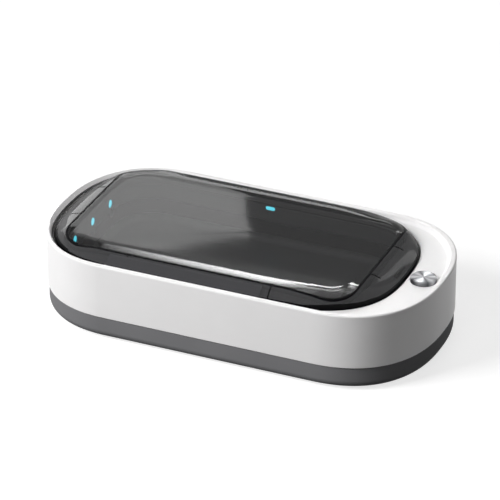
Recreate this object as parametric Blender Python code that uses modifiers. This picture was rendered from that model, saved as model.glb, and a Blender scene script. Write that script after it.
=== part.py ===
"""UV sanitiser box: a white tub on a grey base, a smoked lid and a spun metal button.

Frame: +X towards the button, +Y towards the hinges, +Z up. The origin lies under the
middle of the body, on the surface that the rubber feet stand on. Lengths are metres.
"""

import math

import bmesh
import bpy
from mathutils import Matrix, Vector

# General
CLEARANCE = 0.0003
OVERRUN = 0.001
CORNER_STEPS = 10
ROUND_STEPS = 24
SMALL_STEPS = 12
TINY_STEPS = 8
SEARCH_STEPS = 40
CORNERS = ("left_front", "left_rear", "right_front", "right_rear")

# Body: the outline that both shells share, and their heights
BODY_LENGTH = 0.2222
BODY_WIDTH = 0.118
BODY_CORNER_REACH = 0.0531
BODY_EXPONENT = 2.336
FOOT_PROUD = 0.001
BASE_HEIGHT = 0.013
WALL_HEIGHT = 0.0309
WALL = 0.0026
LIP_WIDTH = 0.0036
RIM_ROUND = 0.0009
RIM_ROUND_STEPS = 2
SEAM_ROUND = 0.0004

# Deck, pocket and ledge inside the rim
DECK_DROP = 0.003
DECK_THICKNESS = 0.0024
DECK_FILLET = 0.0018
DECK_FILLET_STEPS = 2
DECK_LENGTH = 0.0219
LID_END_MARGIN = 0.0049
RECESS_GAP = 0.0012
POCKET_GAP = 0.001
POCKET_WALL = 0.0022
LEDGE_DROP = 0.0087
LEDGE_THICKNESS = 0.0022
LEDGE_WIDTH = 0.0032

# Base
BASE_INSET = 0.0006
BASE_WALL = 0.0024
BASE_FLOOR = 0.0024
BASE_FILLET = 0.005
BASE_FILLET_STEPS = 3
BASE_INNER_FILLET = 0.0026
TONGUE_WIDTH = 0.0012
TONGUE_HEIGHT = 0.0028
TONGUE_ROOT = 0.0014

# Feet
FOOT_RADIUS = 0.006
FOOT_HEIGHT = 0.0017
FOOT_ROUND = 0.0003
FOOT_INSET_X = 0.0361
FOOT_INSET_Y = 0.023

# Case screws, from below through the base into the upper housing
CASE_SCREW_INSET_X = 0.0411
CASE_SCREW_INSET_Y = 0.008
CASE_HEAD_RADIUS = 0.0027
CASE_HEAD_HEIGHT = 0.0022
CASE_HEAD_DEPTH = 0.0012
CASE_SHAFT_RADIUS = 0.0014
CASE_SHAFT_LENGTH = 0.0136
PILLAR_RADIUS = 0.0042
PILLAR_HEIGHT = 0.0066
BOSS_RADIUS = 0.0036
BOSS_TOP_RISE = 0.007
BOSS_WEB = 0.003

# Lid
LID_LEFT_REACH = 0.0455
LID_RIGHT_REACH = 0.0662
LID_LEFT_EXPONENT = 2.39
LID_RIGHT_EXPONENT = 2.83
LID_EDGE_DROP = 0.0014
LID_RISE = 0.0059
LID_WALL = 0.002
SKIRT_DEPTH = 0.0021
SKIRT_WALL = 0.0016
EDGE_ROUND = 0.0004
CREASE_RISE = 0.0051
CREASE_END_EXTRA = 0.0005
CREASE_CORNER_DIP = 0.0035
CREASE_MARGIN = 0.0064
CREASE_END_MARGIN = 0.0137
CREASE_CORNER = 0.02
CROWN_WIDTH = 0.0096
CROWN_STEPS = 3
SLOPE_BULGE = 1.6
SLOPE_SHARES = (0.33, 0.66)
KNEE_WALL = 0.0012
KNEE_STEP = 0.0005
WINDOW_THICKNESS = 0.0018
WINDOW_LIP = 0.0026
WINDOW_LIP_THICKNESS = 0.001
SEAL_THICKNESS = 0.0005
SEAL_WIDTH = 0.0014
LEG_WALL = 0.0012
GASKET_HEIGHT = 0.0007

# Chamber
MOUTH_CORNER = 0.024
CHAMBER_SIDE_INSET = 0.0005
CHAMBER_END_OUTSET = 0.0008
CHAMBER_WALL = 0.0014
CHAMBER_DRAFT = 0.002
CHAMBER_FLOOR_HEIGHT = 0.019
CHAMBER_FLOOR = 0.0016
CHAMBER_FILLET = 0.004
CHAMBER_FILLET_STEPS = 3
FLANGE_THICKNESS = 0.0012
CHAMBER_LIP = 0.0019

# Charging pad, coil and ferrite
PAD_LENGTH = 0.12
PAD_WIDTH = 0.064
PAD_CORNER = 0.012
PAD_THICKNESS = 0.0013
PAD_SEAT = 0.0006
PAD_RIB_WIDTH = 0.0016
PAD_RIB_DEPTH = 0.0005
PAD_RIB_SPACING = 0.012
COIL_RADIUS = 0.022
COIL_HOLE = 0.0105
COIL_THICKNESS = 0.0012
FERRITE_SIZE = 0.05
FERRITE_THICKNESS = 0.0008

# Lamps: ultraviolet LEDs on small boards behind round windows in the chamber's walls
LED_RADIUS = 0.0023
LED_LENGTH = 0.0022
LED_ROUND = 0.0006
LED_DROP = 0.0094
LED_SPACING = 0.0236
LED_BOARD_THICKNESS = 0.001
LED_BOARD_HEIGHT = 0.0052
LED_BOARD_MARGIN = 0.006

# Hinges
HINGE_SPACING = 0.082
HINGE_INSET = 0.0034
HINGE_LIFT = 0.0001
PIN_RADIUS = 0.0007
KNUCKLE_RADIUS = 0.0017
BLADE_WIDTH = 0.0024
LUG_WIDTH = 0.0024
BRACKET_LENGTH = 0.01
BRACKET_REACH = 0.0038
BRACKET_THICKNESS = 0.0008
PEG_RADIUS = 0.0009
PEG_LENGTH = 0.0034
PEG_SPACING = 0.0064
PEG_SETBACK = 0.0011
SLOT_RISE = 0.0021

# Magnets that hold the lid shut, and the steel plates that they pull
MAGNET_LENGTH = 0.01
MAGNET_WIDTH = 0.005
MAGNET_THICKNESS = 0.0022
MAGNET_WALL = 0.0014
MAGNET_HANG = 0.002
PLATE_THICKNESS = 0.001

# Button, its stem, spring and switch
BUTTON_RADIUS = 0.0064
BUTTON_HEIGHT = 0.0036
BUTTON_PROUD = 0.0023
BUTTON_CHAMFER = 0.0006
BUTTON_TOP = 0.0012
BUTTON_WALL = 0.001
BUTTON_GAP = 0.0004
BUTTON_TRAVEL = 0.0008
GUIDE_WALL = 0.0015
GUIDE_DEPTH = 0.0076
GUIDE_FLOOR = 0.0016
STEM_RADIUS = 0.0023
STEM_HEAD = 0.0015
STEM_TAIL = 0.002
COLLAR_RADIUS = 0.0032
COLLAR_HEIGHT = 0.001
SPRING_RADIUS = 0.0037
SPRING_WIRE = 0.00035
SPRING_TURNS = 5
SPRING_POINTS = 9
SWITCH_SIZE = 0.006
SWITCH_HEIGHT = 0.0036
PLUNGER_RADIUS = 0.0016
PLUNGER_PROUD = 0.0011
PLUNGER_DEPTH = 0.0012
BOARD_THICKNESS = 0.0014
BUTTON_BOARD_LENGTH = 0.018
BUTTON_BOARD_WIDTH = 0.032
BUTTON_BOARD_SETBACK = 0.0028
BOARD_BOSS_RADIUS = 0.0026
BOARD_BOSS_SPACING = 0.024
BOARD_BOSS_SETBACK = 0.0076
BOARD_SCREW_RADIUS = 0.0009
BOARD_SCREW_LENGTH = 0.0052
BOARD_HEAD_RADIUS = 0.0019
BOARD_HEAD_HEIGHT = 0.0014
SENSOR_SIZE = 0.005
SENSOR_THICKNESS = 0.0012
SENSOR_OFFSET = 0.01

# Main board under the chamber, with the power socket at the back
MAIN_BOARD_LENGTH = 0.064
MAIN_BOARD_WIDTH = 0.03
MAIN_BOARD_OFFSET = 0.0
MAIN_BOARD_LIFT = 0.0033
MAIN_BOARD_SETBACK = 0.0016
MAIN_BOARD_SCREW_INSET = 0.004
BOARD_PILLAR_RADIUS = 0.0026
CHIP_SIZE = 0.007
CHIP_HEIGHT = 0.0012
CHOKE_RADIUS = 0.005
CHOKE_HEIGHT = 0.004
CHIP_SPREAD = 0.014
SOCKET_WIDTH = 0.009
SOCKET_HEIGHT = 0.0032
SOCKET_DEPTH = 0.0074
SOCKET_WALL = 0.0003
SOCKET_RECESS = 0.0008
SOCKET_MARGIN = 0.0004
TONGUE_BOARD_WIDTH = 0.0066
TONGUE_BOARD_HEIGHT = 0.0007
TONGUE_BOARD_DEPTH = 0.0048

# Levels and places that follow from the sizes above
BASE_BOTTOM = FOOT_PROUD
SEAM_Z = BASE_BOTTOM + BASE_HEIGHT
RIM_Z = SEAM_Z + WALL_HEIGHT
DECK_Z = RIM_Z - DECK_DROP
LEDGE_Z = RIM_Z - LEDGE_DROP
LEDGE_UNDER = LEDGE_Z - LEDGE_THICKNESS
FLANGE_Z = LEDGE_Z + CLEARANCE
FLANGE_TOP = FLANGE_Z + FLANGE_THICKNESS
LIP_TOP = FLANGE_TOP + CHAMBER_LIP
GASKET_Z = LIP_TOP + CLEARANCE
LEG_Z = GASKET_Z + GASKET_HEIGHT + CLEARANCE
LID_EDGE_Z = RIM_Z - LID_EDGE_DROP
LID_TOP = LID_EDGE_Z + LID_RISE
SKIRT_Z = LID_EDGE_Z - SKIRT_DEPTH
LID_LEFT = -BODY_LENGTH / 2 + LID_END_MARGIN
LID_RIGHT = BODY_LENGTH / 2 - DECK_LENGTH
LID_CENTRE = (LID_LEFT + LID_RIGHT) / 2
LID_HALF_WIDTH = BODY_WIDTH / 2 - LIP_WIDTH - RECESS_GAP
CREASE_HALF_LENGTH = (LID_RIGHT - LID_LEFT) / 2 - CREASE_END_MARGIN
CREASE_HALF_WIDTH = LID_HALF_WIDTH - CREASE_MARGIN
SPINE = CREASE_HALF_LENGTH - CREASE_HALF_WIDTH
MOUTH_HALF_LENGTH = CREASE_HALF_LENGTH + CHAMBER_END_OUTSET
MOUTH_HALF_WIDTH = CREASE_HALF_WIDTH - CHAMBER_SIDE_INSET
HINGE_Y = LID_HALF_WIDTH - HINGE_INSET
HINGE_Z = LID_EDGE_Z + HINGE_LIFT
BUTTON_X = (LID_RIGHT + BODY_LENGTH / 2 - LIP_WIDTH) / 2 + BUTTON_GAP
BUTTON_Z = DECK_Z + BUTTON_PROUD
GUIDE_FLOOR_Z = BUTTON_Z - BUTTON_HEIGHT - GUIDE_DEPTH + CLEARANCE
STEM_TOP = BUTTON_Z - BUTTON_TOP - CLEARANCE
STEM_BOTTOM = GUIDE_FLOOR_Z - GUIDE_FLOOR - STEM_TAIL
PLUNGER_TOP = STEM_BOTTOM - CLEARANCE
SWITCH_Z = PLUNGER_TOP - PLUNGER_PROUD - SWITCH_HEIGHT
BUTTON_BOARD_Z = SWITCH_Z - CLEARANCE - BOARD_THICKNESS
BOARD_BOSS_X = BUTTON_X - BOARD_BOSS_SETBACK
MAGNET_REACH = CREASE_HALF_LENGTH + CREASE_END_MARGIN / 2
MAGNET_Z = LEG_Z - MAGNET_HANG + MAGNET_THICKNESS / 2
LED_Z = RIM_Z - LED_DROP
INNER_WALL_REACH = CHAMBER_DRAFT * (LIP_TOP - LED_Z) / (LIP_TOP - CHAMBER_FLOOR_HEIGHT)
CASE_SCREW_X = BODY_LENGTH / 2 - CASE_SCREW_INSET_X
CASE_SCREW_Y = BODY_WIDTH / 2 - CASE_SCREW_INSET_Y
BASE_FLOOR_Z = BASE_BOTTOM + BASE_FLOOR
PILLAR_TOP = BASE_FLOOR_Z + PILLAR_HEIGHT
MAIN_BOARD_Z = BASE_FLOOR_Z + MAIN_BOARD_LIFT + CLEARANCE
MAIN_BOARD_REAR = BODY_WIDTH / 2 - BASE_INSET - BASE_WALL - MAIN_BOARD_SETBACK
SOCKET_Z = MAIN_BOARD_Z + BOARD_THICKNESS + CLEARANCE + SOCKET_HEIGHT / 2


def clear_scene():
    for item in list(bpy.data.objects):
        bpy.data.objects.remove(item, do_unlink=True)


def new_collection(name):
    group = bpy.data.collections.new(name)
    bpy.context.scene.collection.children.link(group)
    return group


def material(name, colour, roughness, metallic=0.0, transmission=0.0):
    finish = bpy.data.materials.new(name)
    finish.use_nodes = True
    shader = finish.node_tree.nodes["Principled BSDF"]
    shader.inputs["Base Color"].default_value = (*colour, 1.0)
    shader.inputs["Roughness"].default_value = roughness
    shader.inputs["Metallic"].default_value = metallic
    shader.inputs["Transmission Weight"].default_value = transmission
    return finish


def finishes():
    return {
        "white_abs": material("white_abs", (0.86, 0.86, 0.87), 0.35),
        "grey_abs": material("grey_abs", (0.13, 0.13, 0.14), 0.45),
        "liner_abs": material("liner_abs", (0.08, 0.08, 0.085), 0.5),
        "smoked_pc": material("smoked_pc", (0.06, 0.06, 0.065), 0.08, 0.0, 0.8),
        "black_silicone": material("black_silicone", (0.02, 0.02, 0.02), 0.7),
        "spun_aluminium": material("spun_aluminium", (0.78, 0.78, 0.79), 0.22, 1.0),
        "white_pom": material("white_pom", (0.8, 0.8, 0.78), 0.4),
        "spring_steel": material("spring_steel", (0.6, 0.6, 0.62), 0.3, 1.0),
        "zinc": material("zinc", (0.55, 0.56, 0.58), 0.4, 1.0),
        "nickel": material("nickel", (0.7, 0.68, 0.64), 0.3, 1.0),
        "green_board": material("green_board", (0.03, 0.2, 0.08), 0.5),
        "black_part": material("black_part", (0.03, 0.03, 0.03), 0.5),
        "led_lens": material("led_lens", (0.45, 0.9, 0.95), 0.2),
        "copper": material("copper", (0.8, 0.4, 0.2), 0.35, 1.0),
        "ferrite": material("ferrite", (0.1, 0.1, 0.1), 0.6),
    }


# Outlines in plan, each a list of (x, y) that runs anticlockwise

def quarter(reach_x, reach_y, exponent):
    """A corner from its sideways end to its long-side end, as a superellipse arc."""
    arc = []
    for step in range(CORNER_STEPS + 1):
        angle = math.pi / 2 * step / CORNER_STEPS
        arc.append((reach_x * max(math.cos(angle), 0.0) ** (2 / exponent),
                    reach_y * math.sin(angle) ** (2 / exponent)))
    return arc


def two_ended_outline(left, right, half_width, left_corner, right_corner):
    """Straight sides between two rounded ends; a corner is its (reach, exponent)."""
    right_arc = quarter(right_corner[0], half_width, right_corner[1])
    left_arc = quarter(left_corner[0], half_width, left_corner[1])
    right_x = right - right_corner[0]
    left_x = left + left_corner[0]
    points = [(right_x + x, y) for x, y in right_arc]
    points += [(left_x - x, y) for x, y in reversed(left_arc)]
    points += [(left_x - x, -y) for x, y in left_arc[1:]]
    points += [(right_x + x, -y) for x, y in reversed(right_arc[1:])]
    return points


def body_outline():
    corner = (BODY_CORNER_REACH, BODY_EXPONENT)
    return two_ended_outline(-BODY_LENGTH / 2, BODY_LENGTH / 2, BODY_WIDTH / 2, corner, corner)


def lid_outline():
    return two_ended_outline(LID_LEFT, LID_RIGHT, LID_HALF_WIDTH,
                             (LID_LEFT_REACH, LID_LEFT_EXPONENT),
                             (LID_RIGHT_REACH, LID_RIGHT_EXPONENT))


def inset(points, distance):
    """The outline moved inward by a distance, or outward where it is negative."""
    moved = []
    count = len(points)
    for index in range(count):
        before = Vector(points[index - 1])
        here = Vector(points[index])
        after = Vector(points[(index + 1) % count])
        first = (here - before).normalized()
        second = (after - here).normalized()
        inward = Vector((-first.y - second.y, first.x + second.x)).normalized()
        spread = max(inward.dot(Vector((-first.y, first.x))), 0.5)
        moved.append(tuple(here + inward * distance / spread))
    return moved


def recess_outline():
    """Inside of the rim: it follows the lid at the left and the body at the right."""
    left = [point for point in inset(lid_outline(), -RECESS_GAP) if point[0] < LID_CENTRE]
    right = [point for point in inset(body_outline(), LIP_WIDTH) if point[0] > LID_CENTRE]
    upper_right = [point for point in right if point[1] >= -CLEARANCE]
    lower_right = [point for point in right if point[1] < -CLEARANCE]
    return upper_right + left + lower_right


def rounded_rectangle(length, width, corner, centre=(0.0, 0.0), steps=6):
    points = []
    for turn, (side_x, side_y) in enumerate(((1, 1), (-1, 1), (-1, -1), (1, -1))):
        centre_x = centre[0] + side_x * (length / 2 - corner)
        centre_y = centre[1] + side_y * (width / 2 - corner)
        for step in range(steps + 1):
            angle = math.pi / 2 * (turn + step / steps)
            points.append((centre_x + corner * math.cos(angle), centre_y + corner * math.sin(angle)))
    return points


def chamber_outline(outset, draft=0.0):
    """The chamber's rounded rectangle, with its corners struck from the same centres."""
    grow = outset - draft
    return rounded_rectangle(2 * (MOUTH_HALF_LENGTH + grow), 2 * (MOUTH_HALF_WIDTH + grow),
                             MOUTH_CORNER + grow, (LID_CENTRE, 0.0))


# Loops of the lid: all are met by the same rays, which run out from a spine along its
# middle to its outline, so that any two of them can be joined into a skin

class LidForm:
    def __init__(self):
        self.rays = []
        for x, y in lid_outline():
            along = min(max(x - LID_CENTRE, -SPINE), SPINE)
            self.rays.append((Vector((LID_CENTRE + along, 0.0)), Vector((x, y))))
        self.crease = self.crease_loop(0.0)
        self.crest = []
        for (start, end), place in zip(self.rays, self.crease):
            heading = (end - start).normalized()
            nearness = max(1.0 - (end - place).length / CREASE_MARGIN, 0.0)
            self.crest.append(LID_EDGE_Z + CREASE_RISE + CREASE_END_EXTRA * heading.x ** 2
                              - CREASE_CORNER_DIP * nearness)

    def rectangle(self, half_length, half_width, corner):
        """Where the rays cross a rounded rectangle about the lid's centre."""
        loop = []
        for start, end in self.rays:
            inner = 0.0
            outer = 1.0
            for step in range(SEARCH_STEPS):
                middle = (inner + outer) / 2
                if outside_rectangle(start.lerp(end, middle), half_length, half_width, corner):
                    outer = middle
                else:
                    inner = middle
            loop.append(start.lerp(end, inner))
        return loop

    def crease_loop(self, inward):
        return self.rectangle(CREASE_HALF_LENGTH - inward, CREASE_HALF_WIDTH - inward,
                              CREASE_CORNER - inward)

    def mouth_loop(self, outward):
        return self.rectangle(MOUTH_HALF_LENGTH + outward, MOUTH_HALF_WIDTH + outward,
                              MOUTH_CORNER + outward)

    def edge_loop(self, distances):
        """Points at a distance inward from the lid's edge along each ray."""
        return [end + (start - end).normalized() * distance
                for (start, end), distance in zip(self.rays, distances)]

    def edge_distances(self, loop):
        return [(end - place).length for (start, end), place in zip(self.rays, loop)]

    def on_slope(self, loop, drop=0.0):
        """The loop set on the bulged slope between the lid's edge and the crease."""
        ring = []
        widths = self.edge_distances(self.crease)
        for place, distance, width, crest in zip(loop, self.edge_distances(loop), widths,
                                                 self.crest):
            share = min(distance / width, 1.0)
            rise = 1.0 - (1.0 - share) ** SLOPE_BULGE
            ring.append((place.x, place.y, LID_EDGE_Z + (crest - LID_EDGE_Z) * rise - drop))
        return ring

    def slope_ring(self, share):
        """A ring on the slope, at a share of the way from the edge to the crease."""
        widths = self.edge_distances(self.crease)
        return self.on_slope(self.edge_loop([width * share for width in widths]))

    def below_crest(self, loop, drop):
        return [(place.x, place.y, crest - drop) for place, crest in zip(loop, self.crest)]

    def on_crown(self, inward, drop):
        """A ring on the window, which climbs from the crease to the flat top."""
        left = (1.0 - min(inward / CROWN_WIDTH, 1.0)) ** 2
        return [(place.x, place.y, LID_TOP - (LID_TOP - crest) * left - drop)
                for place, crest in zip(self.crease_loop(inward), self.crest)]


def outside_rectangle(point, half_length, half_width, corner):
    across = max(abs(point.x - LID_CENTRE) - half_length + corner, 0.0)
    upward = max(abs(point.y) - half_width + corner, 0.0)
    return math.hypot(across, upward) > corner


def level_ring(loop, height):
    return [(point[0], point[1], height) for point in loop]


# Solids

def add_object(name, shape, finish, group):
    mesh = bpy.data.meshes.new(name)
    shape.to_mesh(mesh)
    shape.free()
    mesh.materials.append(finish)
    item = bpy.data.objects.new(name, mesh)
    group.objects.link(item)
    return item


def smooth(item, degrees=40.0):
    item.data.shade_smooth()
    item.data.set_sharp_from_angle(angle=math.radians(degrees))


def prism(name, outline, low, high, finish, group, rounds=()):
    """An outline drawn up from low to high; rounds are (level, radius, steps)."""
    shape = bmesh.new()
    face = shape.faces.new([shape.verts.new((x, y, low)) for x, y in outline])
    grown = bmesh.ops.extrude_face_region(shape, geom=[face])
    raised = [part for part in grown["geom"] if isinstance(part, bmesh.types.BMVert)]
    bmesh.ops.translate(shape, verts=raised, vec=(0.0, 0.0, high - low))
    bmesh.ops.recalc_face_normals(shape, faces=shape.faces)
    for level, radius, steps in rounds:
        round_level(shape, level, radius, steps)
    return add_object(name, shape, finish, group)


def round_level(shape, level, radius, steps):
    """Rounds the edges that lie all at one level."""
    edges = [edge for edge in shape.edges
             if all(abs(vert.co.z - level) < CLEARANCE / 10 for vert in edge.verts)
             and any(abs(face.normal.z) < 0.5 for face in edge.link_faces)]
    bmesh.ops.bevel(shape, geom=edges, offset=radius, offset_type="OFFSET", segments=steps,
                    profile=0.5, affect="EDGES", clamp_overlap=True)


def tapered(name, lower, low, upper, high, finish, group, rounds=()):
    """An outline drawn from low to high while it changes to a like one."""
    shape = bmesh.new()
    face = shape.faces.new([shape.verts.new((x, y, low)) for x, y in lower])
    spread = {tuple(round(value, 6) for value in start): end for start, end in zip(lower, upper)}
    grown = bmesh.ops.extrude_face_region(shape, geom=[face])
    for part in grown["geom"]:
        if isinstance(part, bmesh.types.BMVert):
            x, y = spread[(round(part.co.x, 6), round(part.co.y, 6))]
            part.co = (x, y, high)
    bmesh.ops.recalc_face_normals(shape, faces=shape.faces)
    for level, radius, steps in rounds:
        round_level(shape, level, radius, steps)
    return add_object(name, shape, finish, group)


def loft(name, rings, finish, group, closed=True):
    """A skin over unlike loops with equal counts; closed joins the last to the first.

    Its twisted quads are split into triangles, so that a cut through them stays closed.
    """
    shape = bmesh.new()
    rows = [[shape.verts.new(point) for point in ring] for ring in rings]
    pairs = list(zip(rows, rows[1:]))
    if closed:
        pairs.append((rows[-1], rows[0]))
    for lower, upper in pairs:
        for index, vert in enumerate(lower):
            shape.faces.new((lower[index - 1], vert, upper[index], upper[index - 1]))
    if not closed:
        shape.faces.new(rows[0])
        shape.faces.new(rows[-1])
    bmesh.ops.recalc_face_normals(shape, faces=shape.faces)
    twisted = [face for face in shape.faces if len(face.verts) == 4]
    bmesh.ops.triangulate(shape, faces=twisted)
    item = add_object(name, shape, finish, group)
    smooth(item)
    return item


def box(name, low, high, finish, group, round_edges=0.0):
    shape = bmesh.new()
    bmesh.ops.create_cube(shape, size=1.0)
    low = Vector(low)
    high = Vector(high)
    size = high - low
    place = Matrix.Translation((low + high) / 2) @ Matrix.Diagonal((*size, 1.0))
    bmesh.ops.transform(shape, matrix=place, verts=shape.verts)
    item = add_object(name, shape, finish, group)
    if round_edges:
        rounding = item.modifiers.new("rounding", "BEVEL")
        rounding.width = round_edges
        rounding.segments = 2
    return item


def box_at(name, centre, size, finish, group, round_edges=0.0):
    centre = Vector(centre)
    half = Vector(size) / 2
    return box(name, centre - half, centre + half, finish, group, round_edges)


def turned(name, profile, place, finish, group, steps=SMALL_STEPS, heading="Z"):
    """A profile of (radius, height) run down its outer side and turned about an axis."""
    shape = bmesh.new()
    verts = [shape.verts.new((radius, 0.0, height)) for radius, height in profile]
    for start, end in zip(verts, verts[1:]):
        shape.edges.new((start, end))
    item = add_object(name, shape, finish, group)
    turn = item.modifiers.new("turn", "SCREW")
    turn.angle = math.tau
    turn.steps = steps
    turn.render_steps = steps
    turn.use_merge_vertices = True
    turn.merge_threshold = 0.00001
    turn.use_smooth_shade = True
    item.location = place
    item.rotation_euler = {
        "Z": (0.0, 0.0, 0.0),
        "X": (0.0, math.pi / 2, 0.0),
        "-X": (0.0, -math.pi / 2, 0.0),
        "Y": (-math.pi / 2, 0.0, 0.0),
        "-Y": (math.pi / 2, 0.0, 0.0),
    }[heading]
    return item


def rod(name, radius, low, high, x, y, finish, group, steps=SMALL_STEPS):
    profile = ((0.0, high - low), (radius, high - low), (radius, 0.0), (0.0, 0.0))
    return turned(name, profile, (x, y, low), finish, group, steps)


def use_tool(target, tool, operation, cutters):
    for group in list(tool.users_collection):
        group.objects.unlink(tool)
    cutters.objects.link(tool)
    tool.hide_render = True
    tool.display_type = "WIRE"
    change = target.modifiers.new(tool.name, "BOOLEAN")
    change.operation = operation
    change.solver = "EXACT"
    change.object = tool


def settle(item):
    """Makes an object's modifiers its mesh, so that edges can be picked from it."""
    scene_state = bpy.context.evaluated_depsgraph_get()
    mesh = bpy.data.meshes.new_from_object(item.evaluated_get(scene_state))
    item.modifiers.clear()
    item.data = mesh


class Bench:
    """The collections and finishes that every part is built with."""

    def __init__(self):
        self.parts = new_collection("uv_sanitizer_box")
        self.cutters = new_collection("cutters")
        self.finish = finishes()

    def cut(self, target, *tools):
        for tool in tools:
            use_tool(target, tool, "DIFFERENCE", self.cutters)

    def join(self, target, *tools):
        for tool in tools:
            use_tool(target, tool, "UNION", self.cutters)


def hinge_places():
    return (("left", LID_CENTRE - HINGE_SPACING / 2), ("right", LID_CENTRE + HINGE_SPACING / 2))


def end_places():
    return (("left", -1), ("right", 1))


def peg_places():
    y = HINGE_Y + BRACKET_REACH - PEG_SETBACK
    return [(x + side * PEG_SPACING / 2, y) for name, x in hinge_places() for side in (-1, 1)]


def case_screw_places():
    return [(side * CASE_SCREW_X, end * CASE_SCREW_Y) for side in (-1, 1) for end in (-1, 1)]


def button_board_screw_places():
    return [(BOARD_BOSS_X, side * BOARD_BOSS_SPACING / 2) for side in (-1, 1)]


def main_board_screw_places():
    reach_x = MAIN_BOARD_LENGTH / 2 - MAIN_BOARD_SCREW_INSET
    y = MAIN_BOARD_REAR - MAIN_BOARD_WIDTH / 2
    reach_y = MAIN_BOARD_WIDTH / 2 - MAIN_BOARD_SCREW_INSET
    return [(MAIN_BOARD_OFFSET + side * reach_x, y + end * reach_y)
            for side in (-1, 1) for end in (-1, 1)]


def foot_places():
    x = BODY_LENGTH / 2 - FOOT_INSET_X
    y = BODY_WIDTH / 2 - FOOT_INSET_Y
    return (("front_left", -x, -y), ("front_right", x, -y),
            ("rear_left", -x, y), ("rear_right", x, y))


def make_upper_housing(bench):
    """White shell: outer wall, rounded rim, deck, lid pocket, ledge, guide and bosses."""
    white = bench.finish["white_abs"]
    outline = body_outline()
    shell = prism("upper_housing", outline, SEAM_Z, RIM_Z, white, bench.parts,
                  ((SEAM_Z, SEAM_ROUND, 1),))
    recess = prism("rim_recess", recess_outline(), DECK_Z, RIM_Z + OVERRUN, white, bench.parts,
                   ((DECK_Z, DECK_FILLET, DECK_FILLET_STEPS),))
    bench.cut(shell, recess)
    settle(shell)
    rounded = bmesh.new()
    rounded.from_mesh(shell.data)
    round_level(rounded, RIM_Z, RIM_ROUND, RIM_ROUND_STEPS)
    rounded.to_mesh(shell.data)
    rounded.free()

    cavity = prism("housing_cavity", inset(outline, WALL), SEAM_Z - OVERRUN, LEDGE_UNDER,
                   white, bench.parts)
    deck_hollow = prism("deck_hollow", inset(outline, LIP_WIDTH), LEDGE_UNDER - OVERRUN,
                        DECK_Z - DECK_THICKNESS, white, bench.parts)
    pocket_block = prism("pocket_block", inset(lid_outline(), -POCKET_GAP - POCKET_WALL),
                         LEDGE_UNDER - 2 * OVERRUN, DECK_Z, white, bench.parts)
    bench.cut(deck_hollow, pocket_block)
    bench.cut(shell, cavity, deck_hollow)

    guide_radius = BUTTON_RADIUS + BUTTON_GAP
    guide = rod("button_guide", guide_radius + GUIDE_WALL, GUIDE_FLOOR_Z - GUIDE_FLOOR,
                DECK_Z - DECK_THICKNESS / 2, BUTTON_X, 0.0, white, bench.parts, ROUND_STEPS)
    bench.join(shell, guide)
    for number, (x, y) in enumerate(button_board_screw_places()):
        bench.join(shell, rod(f"board_boss_{number}", BOARD_BOSS_RADIUS,
                              BUTTON_BOARD_Z + BOARD_THICKNESS + CLEARANCE,
                              DECK_Z - DECK_THICKNESS / 2, x, y, white, bench.parts))
    for number, (x, y) in enumerate(case_screw_places()):
        top = SEAM_Z + BOSS_TOP_RISE
        reach = math.copysign(BODY_WIDTH / 2 - WALL, y)
        web = box(f"boss_web_{number}", (x - BOSS_WEB / 2, min(y, reach), SEAM_Z),
                  (x + BOSS_WEB / 2, max(y, reach), top), white, bench.parts)
        bench.join(shell, web, rod(f"case_boss_{number}", BOSS_RADIUS, PILLAR_TOP + CLEARANCE,
                                   top, x, y, white, bench.parts))

    pocket = prism("lid_pocket", inset(lid_outline(), -POCKET_GAP), LEDGE_Z, DECK_Z + OVERRUN / 2,
                   white, bench.parts)
    mouth = prism("ledge_mouth", inset(lid_outline(), LEDGE_WIDTH - POCKET_GAP),
                  LEDGE_UNDER - OVERRUN, LEDGE_Z + OVERRUN, white, bench.parts)
    bore = rod("button_bore", guide_radius, GUIDE_FLOOR_Z, DECK_Z + OVERRUN, BUTTON_X, 0.0,
               white, bench.parts, ROUND_STEPS)
    stem_hole = rod("stem_hole", STEM_RADIUS + CLEARANCE, GUIDE_FLOOR_Z - GUIDE_FLOOR - OVERRUN,
                    GUIDE_FLOOR_Z + OVERRUN, BUTTON_X, 0.0, white, bench.parts)
    bench.cut(shell, pocket, mouth, bore, stem_hole)
    for number, (x, y) in enumerate(button_board_screw_places()):
        top = BUTTON_BOARD_Z + BOARD_SCREW_LENGTH + OVERRUN
        bench.cut(shell, rod(f"board_pilot_{number}", BOARD_SCREW_RADIUS + CLEARANCE,
                             BUTTON_BOARD_Z, top, x, y, white, bench.parts, TINY_STEPS))
    for number, (x, y) in enumerate(case_screw_places()):
        bench.cut(shell, rod(f"case_pilot_{number}", CASE_SHAFT_RADIUS + CLEARANCE, PILLAR_TOP,
                             case_screw_tip() + CLEARANCE, x, y, white, bench.parts, TINY_STEPS))
    for number, (x, y) in enumerate(peg_places()):
        bench.cut(shell, rod(f"ledge_peg_hole_{number}", PEG_RADIUS + CLEARANCE,
                             LEDGE_UNDER - OVERRUN, LEDGE_Z + OVERRUN, x, y, white,
                             bench.parts, TINY_STEPS))


def case_screw_tip():
    return BASE_BOTTOM + CASE_HEAD_DEPTH + CASE_HEAD_HEIGHT + CASE_SHAFT_LENGTH


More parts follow.
